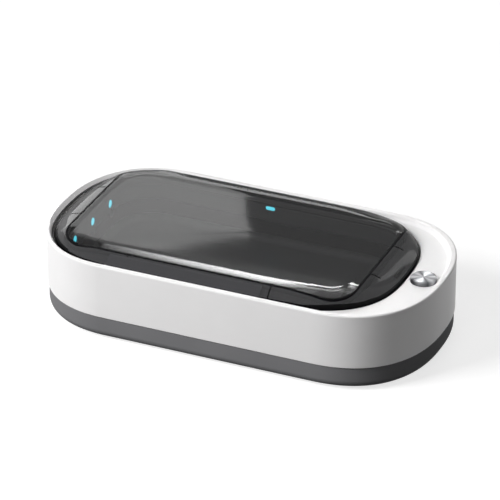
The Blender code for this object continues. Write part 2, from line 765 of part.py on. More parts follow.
def make_base_cover(bench):
    """Grey lower shell: rounded under-edge, tongue, screw pillars, feet seats, socket hole."""
    grey = bench.finish["grey_abs"]
    outline = inset(body_outline(), BASE_INSET)
    top = SEAM_Z - CLEARANCE
    cover = prism("base_cover", outline, BASE_BOTTOM, top, grey, bench.parts,
                  ((BASE_BOTTOM, BASE_FILLET, BASE_FILLET_STEPS), (top, SEAM_ROUND, 1)))
    hollow = prism("base_hollow", inset(outline, BASE_WALL), BASE_FLOOR_Z, top + OVERRUN, grey,
                   bench.parts, ((BASE_FLOOR_Z, BASE_INNER_FILLET, 2),))
    bench.cut(cover, hollow)
    tongue_outline = inset(body_outline(), WALL + CLEARANCE)
    tongue = prism("tongue", tongue_outline, top - TONGUE_ROOT, top + TONGUE_HEIGHT, grey,
                   bench.parts)
    tongue_hollow = prism("tongue_hollow", inset(tongue_outline, TONGUE_WIDTH),
                          top - TONGUE_ROOT - OVERRUN, top + TONGUE_HEIGHT + OVERRUN, grey,
                          bench.parts)
    bench.cut(tongue, tongue_hollow)
    for number, x in enumerate((-CASE_SCREW_X, CASE_SCREW_X)):
        gap = (2 * (BOSS_RADIUS + CLEARANCE), BODY_WIDTH, 4 * TONGUE_HEIGHT)
        bench.cut(tongue, box_at(f"tongue_gap_{number}", (x, 0.0, SEAM_Z), gap, grey,
                                 bench.parts))
    bench.join(cover, tongue)
    for number, (x, y) in enumerate(case_screw_places()):
        bench.join(cover, rod(f"pillar_{number}", PILLAR_RADIUS, BASE_BOTTOM + BASE_FLOOR / 2,
                              PILLAR_TOP, x, y, grey, bench.parts))
    for number, (x, y) in enumerate(main_board_screw_places()):
        bench.join(cover, rod(f"board_pillar_{number}", BOARD_PILLAR_RADIUS,
                              BASE_BOTTOM + BASE_FLOOR / 2, MAIN_BOARD_Z - CLEARANCE, x, y,
                              grey, bench.parts))
    for number, (x, y) in enumerate(case_screw_places()):
        seat = BASE_BOTTOM + CASE_HEAD_DEPTH + CASE_HEAD_HEIGHT + CLEARANCE
        bench.cut(cover,
                  rod(f"head_well_{number}", CASE_HEAD_RADIUS + CLEARANCE, BASE_BOTTOM - OVERRUN,
                      seat, x, y, grey, bench.parts),
                  rod(f"shaft_hole_{number}", CASE_SHAFT_RADIUS + CLEARANCE, seat - OVERRUN,
                      PILLAR_TOP + OVERRUN, x, y, grey, bench.parts, TINY_STEPS))
    for number, (x, y) in enumerate(main_board_screw_places()):
        bench.cut(cover, rod(f"board_screw_hole_{number}", BOARD_SCREW_RADIUS + CLEARANCE,
                             BASE_FLOOR_Z, MAIN_BOARD_Z + OVERRUN, x, y, grey,
                             bench.parts, TINY_STEPS))
    for side, x, y in foot_places():
        bench.cut(cover, rod(f"foot_seat_{side}", FOOT_RADIUS + CLEARANCE, BASE_BOTTOM - OVERRUN,
                             FOOT_HEIGHT + CLEARANCE, x, y, grey, bench.parts))
    opening = rounded_rectangle(SOCKET_WIDTH + 2 * SOCKET_MARGIN, SOCKET_HEIGHT + 2 * SOCKET_MARGIN,
                                SOCKET_HEIGHT / 2 + SOCKET_MARGIN, steps=4)
    socket_hole = prism("socket_hole", opening, -BASE_WALL - OVERRUN, OVERRUN, grey, bench.parts)
    socket_hole.location = (MAIN_BOARD_OFFSET, BODY_WIDTH / 2 - BASE_INSET, SOCKET_Z)
    socket_hole.rotation_euler = (-math.pi / 2, 0.0, 0.0)
    bench.cut(cover, socket_hole)


def make_feet(bench):
    for side, x, y in foot_places():
        profile = ((0.0, FOOT_HEIGHT), (FOOT_RADIUS, FOOT_HEIGHT), (FOOT_RADIUS, FOOT_ROUND),
                   (FOOT_RADIUS - FOOT_ROUND, 0.0), (0.0, 0.0))
        turned(f"foot_{side}", profile, (x, y, 0.0), bench.finish["black_silicone"],
               bench.parts, SMALL_STEPS)


def screw_solid(name, place, head_radius, head_height, shaft_radius, length, finish, group,
                upward):
    """A screw whose head lies at place and whose shaft runs up or down from it."""
    profile = ((0.0, length), (shaft_radius - shaft_radius / 4, length),
               (shaft_radius, length - shaft_radius), (shaft_radius, 0.0), (head_radius, 0.0),
               (head_radius, -head_height), (0.0, -head_height))
    item = turned(name, profile, place, finish, group, TINY_STEPS)
    if not upward:
        item.rotation_euler = (math.pi, 0.0, 0.0)
    return item


def make_screws(bench):
    steel = bench.finish["zinc"]
    head_top = BASE_BOTTOM + CASE_HEAD_DEPTH + CASE_HEAD_HEIGHT
    for name, (x, y) in zip(CORNERS, case_screw_places()):
        screw_solid(f"case_screw_{name}", (x, y, head_top), CASE_HEAD_RADIUS, CASE_HEAD_HEIGHT,
                    CASE_SHAFT_RADIUS, CASE_SHAFT_LENGTH, steel, bench.parts, True)
    for name, (x, y) in zip(("front", "rear"), button_board_screw_places()):
        screw_solid(f"button_board_screw_{name}", (x, y, BUTTON_BOARD_Z - CLEARANCE),
                    BOARD_HEAD_RADIUS, BOARD_HEAD_HEIGHT, BOARD_SCREW_RADIUS,
                    BOARD_SCREW_LENGTH, steel, bench.parts, True)
    for name, (x, y) in zip(CORNERS, main_board_screw_places()):
        place = (x, y, MAIN_BOARD_Z + BOARD_THICKNESS + CLEARANCE)
        screw_solid(f"main_board_screw_{name}", place, BOARD_HEAD_RADIUS, BOARD_HEAD_HEIGHT,
                    BOARD_SCREW_RADIUS, MAIN_BOARD_LIFT + BOARD_THICKNESS, steel, bench.parts,
                    False)


def make_chamber_liner(bench):
    """Dark tub with a flange on the ledge, round lamp windows and a seat for the pad."""
    dark = bench.finish["liner_abs"]
    liner = prism("chamber_liner", inset(lid_outline(), CLEARANCE - POCKET_GAP), FLANGE_Z,
                  FLANGE_TOP, dark, bench.parts)
    under = CHAMBER_FLOOR_HEIGHT - CHAMBER_FLOOR
    outer_draft = CHAMBER_DRAFT * (LIP_TOP - under) / (LIP_TOP - CHAMBER_FLOOR_HEIGHT)
    outside = tapered("tub_outside", chamber_outline(CHAMBER_WALL, outer_draft), under,
                      chamber_outline(CHAMBER_WALL), LIP_TOP, dark, bench.parts,
                      ((under, CHAMBER_FILLET + CHAMBER_FLOOR, CHAMBER_FILLET_STEPS),))
    inside = tapered("tub_inside", chamber_outline(0.0, CHAMBER_DRAFT), CHAMBER_FLOOR_HEIGHT,
                     chamber_outline(0.0), LIP_TOP + OVERRUN / 10, dark, bench.parts,
                     ((CHAMBER_FLOOR_HEIGHT, CHAMBER_FILLET, CHAMBER_FILLET_STEPS),))
    bench.join(liner, outside)
    bench.cut(liner, inside)
    pad_seat = prism("pad_seat", rounded_rectangle(PAD_LENGTH + 2 * CLEARANCE,
                                                   PAD_WIDTH + 2 * CLEARANCE,
                                                   PAD_CORNER + CLEARANCE, (LID_CENTRE, 0.0)),
                     CHAMBER_FLOOR_HEIGHT - PAD_SEAT, CHAMBER_FLOOR_HEIGHT + OVERRUN, dark,
                     bench.parts)
    bench.cut(liner, pad_seat)
    for number, (x, y) in enumerate(peg_places()):
        bench.cut(liner, rod(f"flange_peg_hole_{number}", PEG_RADIUS + CLEARANCE,
                             FLANGE_Z - OVERRUN, FLANGE_TOP + OVERRUN, x, y, dark,
                             bench.parts, TINY_STEPS))
    for name, place, heading, lamps in lamp_rows():
        low, high = lamp_board_box(place, heading, lamps)
        margin = Vector((CLEARANCE, CLEARANCE, 0.0))
        low = Vector(low) - margin
        high = Vector(high) + margin
        low.z = FLANGE_Z - OVERRUN
        high.z = FLANGE_TOP + OVERRUN
        bench.cut(liner, box(f"board_gap_{name}", low, high, dark, bench.parts))
        for lamp, spot in lamp_spots(name, place, heading, lamps):
            reach = CHAMBER_WALL + OVERRUN
            profile = ((0.0, reach), (LED_RADIUS + CLEARANCE, reach),
                       (LED_RADIUS + CLEARANCE, -reach), (0.0, -reach))
            bench.cut(liner, turned(f"window_{lamp}", profile, spot, dark, bench.parts,
                                    SMALL_STEPS, heading_name(heading)))


def heading_name(heading):
    return {(1, 0): "X", (-1, 0): "-X", (0, 1): "Y", (0, -1): "-Y"}[heading]


def lamp_rows():
    """Each wall's name, where its lamps look in from, which way, and how many."""
    end = MOUTH_HALF_LENGTH - INNER_WALL_REACH
    side = MOUTH_HALF_WIDTH - INNER_WALL_REACH
    return (("left", (LID_CENTRE - end, 0.0), (1, 0), 3),
            ("right", (LID_CENTRE + end, 0.0), (-1, 0), 3),
            ("rear", (LID_CENTRE, side), (0, -1), 1),
            ("front", (LID_CENTRE, -side), (0, 1), 1))


def lamp_spots(name, place, heading, lamps):
    """The middle of each lamp's lens, level with the chamber's inner wall."""
    if lamps == 1:
        return [(name, (place[0], place[1], LED_Z))]
    spots = []
    for label, step in (("front", -1), ("middle", 0), ("back", 1)):
        spots.append((f"{name}_{label}", (place[0], place[1] + step * LED_SPACING, LED_Z)))
    return spots


def lamp_board_box(place, heading, lamps):
    """Lowest and highest corners of a wall's lamp board, which stands behind its lamps."""
    back = LED_LENGTH + CLEARANCE
    half = (lamps - 1) * LED_SPACING / 2 + LED_BOARD_MARGIN
    near = Vector(place) - Vector(heading) * back
    far = near - Vector(heading) * LED_BOARD_THICKNESS
    along = Vector((abs(heading[1]), abs(heading[0]))) * half
    low = Vector((min(near.x, far.x), min(near.y, far.y))) - along
    high = Vector((max(near.x, far.x), max(near.y, far.y))) + along
    base = LED_Z - LED_BOARD_HEIGHT / 2
    return (low.x, low.y, base), (high.x, high.y, base + LED_BOARD_HEIGHT)


def make_lamps(bench):
    for name, place, heading, lamps in lamp_rows():
        low, high = lamp_board_box(place, heading, lamps)
        box(f"led_board_{name}", low, high, bench.finish["green_board"], bench.parts)
        for lamp, spot in lamp_spots(name, place, heading, lamps):
            profile = ((0.0, 0.0), (LED_RADIUS - LED_ROUND, 0.0), (LED_RADIUS, -LED_ROUND),
                       (LED_RADIUS, -LED_LENGTH), (0.0, -LED_LENGTH))
            turned(f"uv_led_{lamp}", profile, spot, bench.finish["led_lens"], bench.parts,
                   TINY_STEPS, heading_name(heading))


def make_charging_parts(bench):
    seat = CHAMBER_FLOOR_HEIGHT - PAD_SEAT + CLEARANCE
    pad = prism("charging_pad", rounded_rectangle(PAD_LENGTH, PAD_WIDTH, PAD_CORNER,
                                                  (LID_CENTRE, 0.0)),
                seat, seat + PAD_THICKNESS, bench.finish["black_silicone"], bench.parts,
                ((seat + PAD_THICKNESS, CLEARANCE, 1),))
    for number in (-1, 0, 1):
        y = number * PAD_RIB_SPACING
        top = seat + PAD_THICKNESS
        groove = box(f"pad_groove_{number + 1}",
                     (LID_CENTRE - PAD_LENGTH / 2 + PAD_CORNER, y - PAD_RIB_WIDTH / 2,
                      top - PAD_RIB_DEPTH),
                     (LID_CENTRE + PAD_LENGTH / 2 - PAD_CORNER, y + PAD_RIB_WIDTH / 2,
                      top + OVERRUN), bench.finish["black_silicone"], bench.parts)
        bench.cut(pad, groove)
    coil_top = CHAMBER_FLOOR_HEIGHT - CHAMBER_FLOOR - CLEARANCE
    profile = ((COIL_RADIUS, 0.0), (COIL_RADIUS, -COIL_THICKNESS), (COIL_HOLE, -COIL_THICKNESS),
               (COIL_HOLE, 0.0), (COIL_RADIUS, 0.0))
    turned("charging_coil", profile, (LID_CENTRE, 0.0, coil_top), bench.finish["copper"],
           bench.parts, ROUND_STEPS)
    ferrite_top = coil_top - COIL_THICKNESS - CLEARANCE
    box_at("ferrite_plate", (LID_CENTRE, 0.0, ferrite_top - FERRITE_THICKNESS / 2),
           (FERRITE_SIZE, FERRITE_SIZE, FERRITE_THICKNESS), bench.finish["ferrite"], bench.parts)


def make_lid_frame(bench, form):
    """Smoked ring: skirt, bulged slope, crease, window lip, sealing leg and hinge lugs."""
    smoked = bench.finish["smoked_pc"]
    outline = lid_outline()
    lip_drop = WINDOW_THICKNESS + SEAL_THICKNESS + 2 * CLEARANCE
    lip_under = lip_drop + WINDOW_LIP_THICKNESS
    lip = form.crease_loop(WINDOW_LIP)
    leg_inner = form.mouth_loop(0.0)
    leg_outer = form.mouth_loop(LEG_WALL)
    knee_distances = [min(crease - KNEE_WALL, leg - KNEE_STEP)
                      for crease, leg in zip(form.edge_distances(form.crease),
                                             form.edge_distances(leg_outer))]
    skirt_distances = [min(SKIRT_WALL, knee - CLEARANCE) for knee in knee_distances]
    middle_distances = [(knee + skirt) / 2
                        for knee, skirt in zip(knee_distances, skirt_distances)]
    knee = form.edge_loop(knee_distances)
    middle = form.edge_loop(middle_distances)
    skirt = form.edge_loop(skirt_distances)
    edge_round = form.edge_loop([EDGE_ROUND for ray in form.rays])
    rings = [level_ring(outline, SKIRT_Z), level_ring(outline, LID_EDGE_Z - EDGE_ROUND),
             form.on_slope(edge_round)]
    rings += [form.slope_ring(share) for share in SLOPE_SHARES]
    rings += [form.below_crest(form.crease, 0.0), form.below_crest(form.crease, lip_drop),
              form.below_crest(lip, lip_drop), form.below_crest(lip, lip_under),
              form.below_crest(leg_inner, lip_under), level_ring(leg_inner, LEG_Z),
              level_ring(leg_outer, LEG_Z), form.below_crest(leg_outer, lip_under),
              form.below_crest(knee, lip_under), form.on_slope(knee, LID_WALL),
              form.on_slope(middle, LID_WALL), form.on_slope(skirt, LID_WALL),
              level_ring(skirt, SKIRT_Z)]
    frame = loft("lid_frame", rings, smoked, bench.parts)
    for side, x in hinge_places():
        for end in (-1, 1):
            inner = BLADE_WIDTH / 2 + CLEARANCE
            middle = x + end * (inner + LUG_WIDTH / 2)
            lug = turned(f"lug_{side}_{end + 1}",
                         ((0.0, LUG_WIDTH / 2), (KNUCKLE_RADIUS, LUG_WIDTH / 2),
                          (KNUCKLE_RADIUS, -LUG_WIDTH / 2), (0.0, -LUG_WIDTH / 2)),
                         (middle, HINGE_Y, HINGE_Z), smoked, bench.parts, SMALL_STEPS, "X")
            web = box_at(f"web_{side}_{end + 1}", (middle, HINGE_Y, HINGE_Z + KNUCKLE_RADIUS / 2),
                         (LUG_WIDTH, KNUCKLE_RADIUS * 2, KNUCKLE_RADIUS), smoked, bench.parts)
            bench.join(frame, lug, web)
    for side, end in end_places():
        x = LID_CENTRE + end * MAGNET_REACH
        holder = box(f"magnet_holder_{side}",
                     (x - MAGNET_WIDTH / 2 - MAGNET_WALL, -MAGNET_LENGTH / 2 - MAGNET_WALL,
                      MAGNET_Z - MAGNET_THICKNESS / 2 - CLEARANCE),
                     (x + MAGNET_WIDTH / 2 + MAGNET_WALL, MAGNET_LENGTH / 2 + MAGNET_WALL,
                      LID_EDGE_Z + LID_WALL / 2), smoked, bench.parts)
        bench.join(frame, holder)
        bench.cut(frame, box_at(f"magnet_pocket_{side}", (x, 0.0, MAGNET_Z - OVERRUN / 2),
                                (MAGNET_WIDTH + 2 * CLEARANCE, MAGNET_LENGTH + 2 * CLEARANCE,
                                 MAGNET_THICKNESS + 2 * CLEARANCE + OVERRUN), smoked,
                                bench.parts))
    for side, x in hinge_places():
        half = BLADE_WIDTH / 2 + CLEARANCE
        slot = box(f"blade_slot_{side}",
                   (x - half, HINGE_Y - KNUCKLE_RADIUS - CLEARANCE, SKIRT_Z - OVERRUN),
                   (x + half, LID_HALF_WIDTH + OVERRUN, HINGE_Z + SLOT_RISE), smoked,
                   bench.parts)
        reach = BLADE_WIDTH / 2 + CLEARANCE + LUG_WIDTH + OVERRUN
        bore = turned(f"pin_bore_{side}", ((0.0, reach), (PIN_RADIUS + CLEARANCE, reach),
                                           (PIN_RADIUS + CLEARANCE, -reach), (0.0, -reach)),
                      (x, HINGE_Y, HINGE_Z), smoked, bench.parts, TINY_STEPS, "X")
        bench.cut(frame, slot, bore)
    return frame


def make_lid_parts(bench, form):
    """The lid's window, its dark seal, the gasket under the leg and the two magnets."""
    smoked = bench.finish["smoked_pc"]
    soft = bench.finish["black_silicone"]
    flats = [CROWN_WIDTH * step / CROWN_STEPS for step in range(1, CROWN_STEPS + 1)]
    edge = form.crease_loop(CLEARANCE)
    rings = [form.on_crown(flat, WINDOW_THICKNESS) for flat in reversed(flats)]
    rings += [form.below_crest(edge, WINDOW_THICKNESS), form.below_crest(edge, 0.0)]
    rings += [form.on_crown(flat, 0.0) for flat in flats]
    window = loft("lid_window", rings, smoked, bench.parts, closed=False)
    top = WINDOW_THICKNESS + CLEARANCE
    bottom = top + SEAL_THICKNESS
    outer = form.crease_loop(2 * CLEARANCE)
    inner = form.crease_loop(2 * CLEARANCE + SEAL_WIDTH)
    seal = loft("window_seal", [form.below_crest(outer, top), form.below_crest(outer, bottom),
                                form.below_crest(inner, bottom), form.below_crest(inner, top)],
                soft, bench.parts)
    outer = form.mouth_loop(LEG_WALL)
    inner = form.mouth_loop(0.0)
    gasket = loft("lid_gasket", [level_ring(outer, GASKET_Z + GASKET_HEIGHT),
                                 level_ring(outer, GASKET_Z), level_ring(inner, GASKET_Z),
                                 level_ring(inner, GASKET_Z + GASKET_HEIGHT)],
                  soft, bench.parts)
    magnets = [box_at(f"lid_magnet_{side}", (LID_CENTRE + end * MAGNET_REACH, 0.0, MAGNET_Z),
                      (MAGNET_WIDTH, MAGNET_LENGTH, MAGNET_THICKNESS), bench.finish["nickel"],
                      bench.parts) for side, end in end_places()]
    return [window, seal, gasket] + magnets


def make_catch_plates(bench):
    for side, end in end_places():
        x = LID_CENTRE + end * MAGNET_REACH
        box_at(f"catch_plate_{side}", (x, 0.0, FLANGE_Z - CLEARANCE - PLATE_THICKNESS / 2),
               (MAGNET_WIDTH, MAGNET_LENGTH, PLATE_THICKNESS), bench.finish["zinc"], bench.parts)
    sensor_z = FLANGE_Z - CLEARANCE - SENSOR_THICKNESS / 2
    box_at("lid_sensor", (LID_CENTRE + MAGNET_REACH, SENSOR_OFFSET, sensor_z),
           (SENSOR_SIZE, SENSOR_SIZE, SENSOR_THICKNESS), bench.finish["black_part"], bench.parts)


def make_hinges(bench):
    """Brackets that stand on the flange, pegged to the ledge, and the pins; returns pins."""
    pins = []
    for side, x in hinge_places():
        zinc = bench.finish["zinc"]
        low = FLANGE_TOP + CLEARANCE
        bracket = box(f"hinge_bracket_{side}",
                      (x - BRACKET_LENGTH / 2, HINGE_Y - KNUCKLE_RADIUS, low),
                      (x + BRACKET_LENGTH / 2, HINGE_Y + BRACKET_REACH, low + BRACKET_THICKNESS),
                      zinc, bench.parts)
        blade = box(f"blade_{side}", (x - BLADE_WIDTH / 2, HINGE_Y - KNUCKLE_RADIUS,
                                      low + BRACKET_THICKNESS / 2),
                    (x + BLADE_WIDTH / 2, HINGE_Y + KNUCKLE_RADIUS, HINGE_Z), zinc, bench.parts)
        eye = turned(f"eye_{side}", ((0.0, BLADE_WIDTH / 2), (KNUCKLE_RADIUS, BLADE_WIDTH / 2),
                                     (KNUCKLE_RADIUS, -BLADE_WIDTH / 2),
                                     (0.0, -BLADE_WIDTH / 2)),
                     (x, HINGE_Y, HINGE_Z), zinc, bench.parts, SMALL_STEPS, "X")
        bench.join(bracket, blade, eye)
        for number, end in enumerate((-1, 1)):
            y = HINGE_Y + BRACKET_REACH - PEG_SETBACK
            bench.join(bracket, rod(f"peg_{side}_{number}", PEG_RADIUS, low - PEG_LENGTH,
                                    low + BRACKET_THICKNESS / 2, x + end * PEG_SPACING / 2, y,
                                    zinc, bench.parts, TINY_STEPS))
        reach = BLADE_WIDTH / 2 + OVERRUN
        bench.cut(bracket, turned(f"eye_bore_{side}",
                                  ((0.0, reach), (PIN_RADIUS + CLEARANCE, reach),
                                   (PIN_RADIUS + CLEARANCE, -reach), (0.0, -reach)),
                                  (x, HINGE_Y, HINGE_Z), zinc, bench.parts, TINY_STEPS, "X"))
        half = BLADE_WIDTH / 2 + CLEARANCE + LUG_WIDTH
        pins.append(turned(f"hinge_pin_{side}", ((0.0, half), (PIN_RADIUS, half),
                                                 (PIN_RADIUS, -half), (0.0, -half)),
                           (x, HINGE_Y, HINGE_Z), bench.finish["nickel"], bench.parts,
                           TINY_STEPS, "X"))
    return pins


def make_button(bench):
    """Spun metal cap, its stem with a snap collar, the spring and the switch's plunger."""
    inner = BUTTON_RADIUS - BUTTON_WALL
    profile = ((0.0, 0.0), (BUTTON_RADIUS - BUTTON_CHAMFER, 0.0), (BUTTON_RADIUS, -BUTTON_CHAMFER),
               (BUTTON_RADIUS, -BUTTON_HEIGHT), (inner, -BUTTON_HEIGHT), (inner, -BUTTON_TOP),
               (0.0, -BUTTON_TOP))
    cap = turned("button_cap", profile, (BUTTON_X, 0.0, BUTTON_Z),
                 bench.finish["spun_aluminium"], bench.parts, ROUND_STEPS)
    head = inner - CLEARANCE
    collar = GUIDE_FLOOR_Z - GUIDE_FLOOR - CLEARANCE
    profile = ((0.0, STEM_TOP), (head, STEM_TOP), (head, STEM_TOP - STEM_HEAD),
               (STEM_RADIUS, STEM_TOP - STEM_HEAD), (STEM_RADIUS, collar),
               (COLLAR_RADIUS, collar), (STEM_RADIUS, collar - COLLAR_HEIGHT),
               (STEM_RADIUS, STEM_BOTTOM), (0.0, STEM_BOTTOM))
    stem = turned("button_stem", profile, (BUTTON_X, 0.0, 0.0), bench.finish["white_pom"],
                  bench.parts, SMALL_STEPS)
    plunger_length = PLUNGER_PROUD + PLUNGER_DEPTH
    plunger = rod("switch_plunger", PLUNGER_RADIUS, PLUNGER_TOP - plunger_length, PLUNGER_TOP,
                  BUTTON_X, 0.0, bench.finish["black_part"], bench.parts, TINY_STEPS)
    make_button_spring(bench)
    return [cap, stem, plunger]


def make_button_spring(bench):
    """A coil from the guide's floor to the stem's head, one unbroken wire."""
    low = GUIDE_FLOOR_Z + CLEARANCE + SPRING_WIRE
    high = STEM_TOP - STEM_HEAD - CLEARANCE - SPRING_WIRE
    turns = SPRING_TURNS * SPRING_POINTS
    curve = bpy.data.curves.new("button_spring", "CURVE")
    curve.dimensions = "3D"
    curve.bevel_depth = SPRING_WIRE
    curve.bevel_resolution = 1
    curve.use_fill_caps = True
    wire = curve.splines.new("POLY")
    wire.points.add(turns)
    for step, point in enumerate(wire.points):
        angle = math.tau * step / SPRING_POINTS
        height = low + (high - low) * step / turns
        point.co = (SPRING_RADIUS * math.cos(angle), SPRING_RADIUS * math.sin(angle), height, 1.0)
    curve.materials.append(bench.finish["spring_steel"])
    spring = bpy.data.objects.new("button_spring", curve)
    spring.location = (BUTTON_X, 0.0, 0.0)
    bench.parts.objects.link(spring)
    pitch = (high - low) / SPRING_TURNS
    print("button spring: gap between turns", round(pitch - 2 * SPRING_WIRE, 5), "m")


def make_button_board(bench):
    board_finish = bench.finish["green_board"]
    centre_x = BUTTON_X - BUTTON_BOARD_SETBACK
    board = box_at("button_board", (centre_x, 0.0, BUTTON_BOARD_Z + BOARD_THICKNESS / 2),
                   (BUTTON_BOARD_LENGTH, BUTTON_BOARD_WIDTH, BOARD_THICKNESS), board_finish,
                   bench.parts)
    for number, (x, y) in enumerate(button_board_screw_places()):
        bench.cut(board, rod(f"button_board_hole_{number}", BOARD_SCREW_RADIUS + CLEARANCE,
                             BUTTON_BOARD_Z - OVERRUN, BUTTON_BOARD_Z + BOARD_THICKNESS + OVERRUN,
                             x, y, board_finish, bench.parts, TINY_STEPS))
    switch = box_at("tact_switch", (BUTTON_X, 0.0, SWITCH_Z + SWITCH_HEIGHT / 2),
                    (SWITCH_SIZE, SWITCH_SIZE, SWITCH_HEIGHT), bench.finish["black_part"],
                    bench.parts)
    well = PLUNGER_DEPTH + BUTTON_TRAVEL + CLEARANCE
    bench.cut(switch, rod("plunger_well", PLUNGER_RADIUS + CLEARANCE,
                          SWITCH_Z + SWITCH_HEIGHT - well, SWITCH_Z + SWITCH_HEIGHT + OVERRUN,
                          BUTTON_X, 0.0, bench.finish["black_part"], bench.parts, TINY_STEPS))


def make_main_board(bench):
    """Power board on its pillars, with a chip and a choke, and the socket at its rear."""
    board_finish = bench.finish["green_board"]
    centre_y = MAIN_BOARD_REAR - MAIN_BOARD_WIDTH / 2
    top = MAIN_BOARD_Z + BOARD_THICKNESS
    board = box_at("main_board", (MAIN_BOARD_OFFSET, centre_y, MAIN_BOARD_Z + BOARD_THICKNESS / 2),
                   (MAIN_BOARD_LENGTH, MAIN_BOARD_WIDTH, BOARD_THICKNESS), board_finish,
                   bench.parts)
    chip = box_at("chip", (MAIN_BOARD_OFFSET - CHIP_SPREAD, centre_y, top),
                  (CHIP_SIZE, CHIP_SIZE, 2 * CHIP_HEIGHT), board_finish, bench.parts)
    choke = rod("choke", CHOKE_RADIUS, top - BOARD_THICKNESS / 2, top + CHOKE_HEIGHT,
                MAIN_BOARD_OFFSET + CHIP_SPREAD, centre_y, board_finish, bench.parts)
    bench.join(board, chip, choke)
    for number, (x, y) in enumerate(main_board_screw_places()):
        bench.cut(board, rod(f"main_board_hole_{number}", BOARD_SCREW_RADIUS + CLEARANCE,
                             MAIN_BOARD_Z - OVERRUN, top + OVERRUN, x, y, board_finish,
                             bench.parts, TINY_STEPS))
    face = BODY_WIDTH / 2 - BASE_INSET - SOCKET_RECESS
    corner = SOCKET_HEIGHT / 2
    shell = prism("usb_socket", rounded_rectangle(SOCKET_WIDTH, SOCKET_HEIGHT, corner, steps=4),
                  -SOCKET_DEPTH, 0.0, bench.finish["nickel"], bench.parts)
    bore = prism("socket_bore",
                 rounded_rectangle(SOCKET_WIDTH - 2 * SOCKET_WALL, SOCKET_HEIGHT - 2 * SOCKET_WALL,
                                   corner - SOCKET_WALL, steps=4),
                 -SOCKET_DEPTH + OVERRUN, OVERRUN, bench.finish["nickel"], bench.parts)
    for item in (shell, bore):
        item.location = (MAIN_BOARD_OFFSET, face, SOCKET_Z)
        item.rotation_euler = (-math.pi / 2, 0.0, 0.0)
    bench.cut(shell, bore)
    root = face - SOCKET_DEPTH + OVERRUN + CLEARANCE
    box("usb_tongue",
        (MAIN_BOARD_OFFSET - TONGUE_BOARD_WIDTH / 2, root, SOCKET_Z - TONGUE_BOARD_HEIGHT / 2),
        (MAIN_BOARD_OFFSET + TONGUE_BOARD_WIDTH / 2, root + TONGUE_BOARD_DEPTH,
         SOCKET_Z + TONGUE_BOARD_HEIGHT / 2), bench.finish["black_part"], bench.parts)


def carry_on_axis(name, place, items, group):
    """Parents moving pieces to an empty on their joint's axis, where they stay put."""
    axis = bpy.data.objects.new(name, None)
    axis.empty_display_size = BLADE_WIDTH
    axis.location = place
    group.objects.link(axis)
    back = Matrix.Translation(place).inverted()
    for item in items:
        item.parent = axis
        item.matrix_parent_inverse = back


def main():
    clear_scene()
    bench = Bench()
    make_upper_housing(bench)
    make_base_cover(bench)
    make_feet(bench)
    make_screws(bench)
    make_chamber_liner(bench)
    make_lamps(bench)
    make_charging_parts(bench)
    make_catch_plates(bench)
    make_button_board(bench)
    make_main_board(bench)
    form = LidForm()
    frame = make_lid_frame(bench, form)
    lid_parts = make_lid_parts(bench, form)
    pins = make_hinges(bench)
    button_parts = make_button(bench)
    carry_on_axis("lid_axis", (LID_CENTRE, HINGE_Y, HINGE_Z), [frame] + lid_parts + pins,
                  bench.parts)
    carry_on_axis("button_axis", (BUTTON_X, 0.0, BUTTON_Z), button_parts, bench.parts)


main()
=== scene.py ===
# %% [markdown]
# # An ultraviolet sanitiser box
# A white tub on a grey base, with a smoked see-through lid sunk in its rim and a spun metal
# button on the deck beside it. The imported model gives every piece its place. This lesson
# dresses it: the visible shells are modelled again with finer curves, and each piece gets
# the finish that it was moulded, spun or stamped with.

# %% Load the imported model
import math

import bmesh
import bpy
import numpy as np
from mathutils import Matrix, Quaternion, Vector


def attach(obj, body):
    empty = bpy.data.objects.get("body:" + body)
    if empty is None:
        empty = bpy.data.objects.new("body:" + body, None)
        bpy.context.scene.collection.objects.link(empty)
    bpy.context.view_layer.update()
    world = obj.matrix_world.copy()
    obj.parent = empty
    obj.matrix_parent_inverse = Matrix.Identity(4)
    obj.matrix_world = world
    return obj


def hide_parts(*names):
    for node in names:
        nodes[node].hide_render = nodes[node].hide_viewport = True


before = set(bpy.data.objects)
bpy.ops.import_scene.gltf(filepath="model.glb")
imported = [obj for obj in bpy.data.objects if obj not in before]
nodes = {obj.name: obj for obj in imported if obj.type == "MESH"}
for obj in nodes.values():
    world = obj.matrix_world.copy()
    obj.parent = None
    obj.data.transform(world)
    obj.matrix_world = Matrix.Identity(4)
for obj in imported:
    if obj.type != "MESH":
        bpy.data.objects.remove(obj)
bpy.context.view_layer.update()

MM = 0.001

# %% [markdown]
# ## Camera
# The box was photographed from above its button end, through a long lens. A long lens keeps
# the far edges almost as large as the near ones, so the distance matters as much as the angle.

# %% Camera
CAMERA_AZIMUTH = 23.29
CAMERA_ELEVATION = 28.96
CAMERA_DISTANCE = 1.8928
CAMERA_TARGET = Vector((-10.0, 22.7, 24.6)) * MM
LENS_IN_MM = 251.4
SENSOR_IN_MM = 36.0


def heading_from(azimuth, elevation):
    """The direction from the box towards a camera or a light, from angles in degrees."""
    azimuth = math.radians(azimuth)
    elevation = math.radians(elevation)
    return Vector((math.sin(azimuth) * math.cos(elevation),
                   -math.cos(azimuth) * math.cos(elevation), math.sin(elevation)))


camera_back = heading_from(CAMERA_AZIMUTH, CAMERA_ELEVATION)
camera_data = bpy.data.cameras.new("camera")
camera_data.lens = LENS_IN_MM
camera_data.sensor_width = SENSOR_IN_MM
camera = bpy.data.objects.new("camera", camera_data)
camera.location = CAMERA_TARGET + camera_back * CAMERA_DISTANCE
camera.rotation_mode = "QUATERNION"
camera.rotation_quaternion = (-camera_back).to_track_quat("-Z", "Y")
bpy.context.scene.collection.objects.link(camera)
bpy.context.scene.camera = camera
print("camera at", [round(value, 3) for value in camera.location])

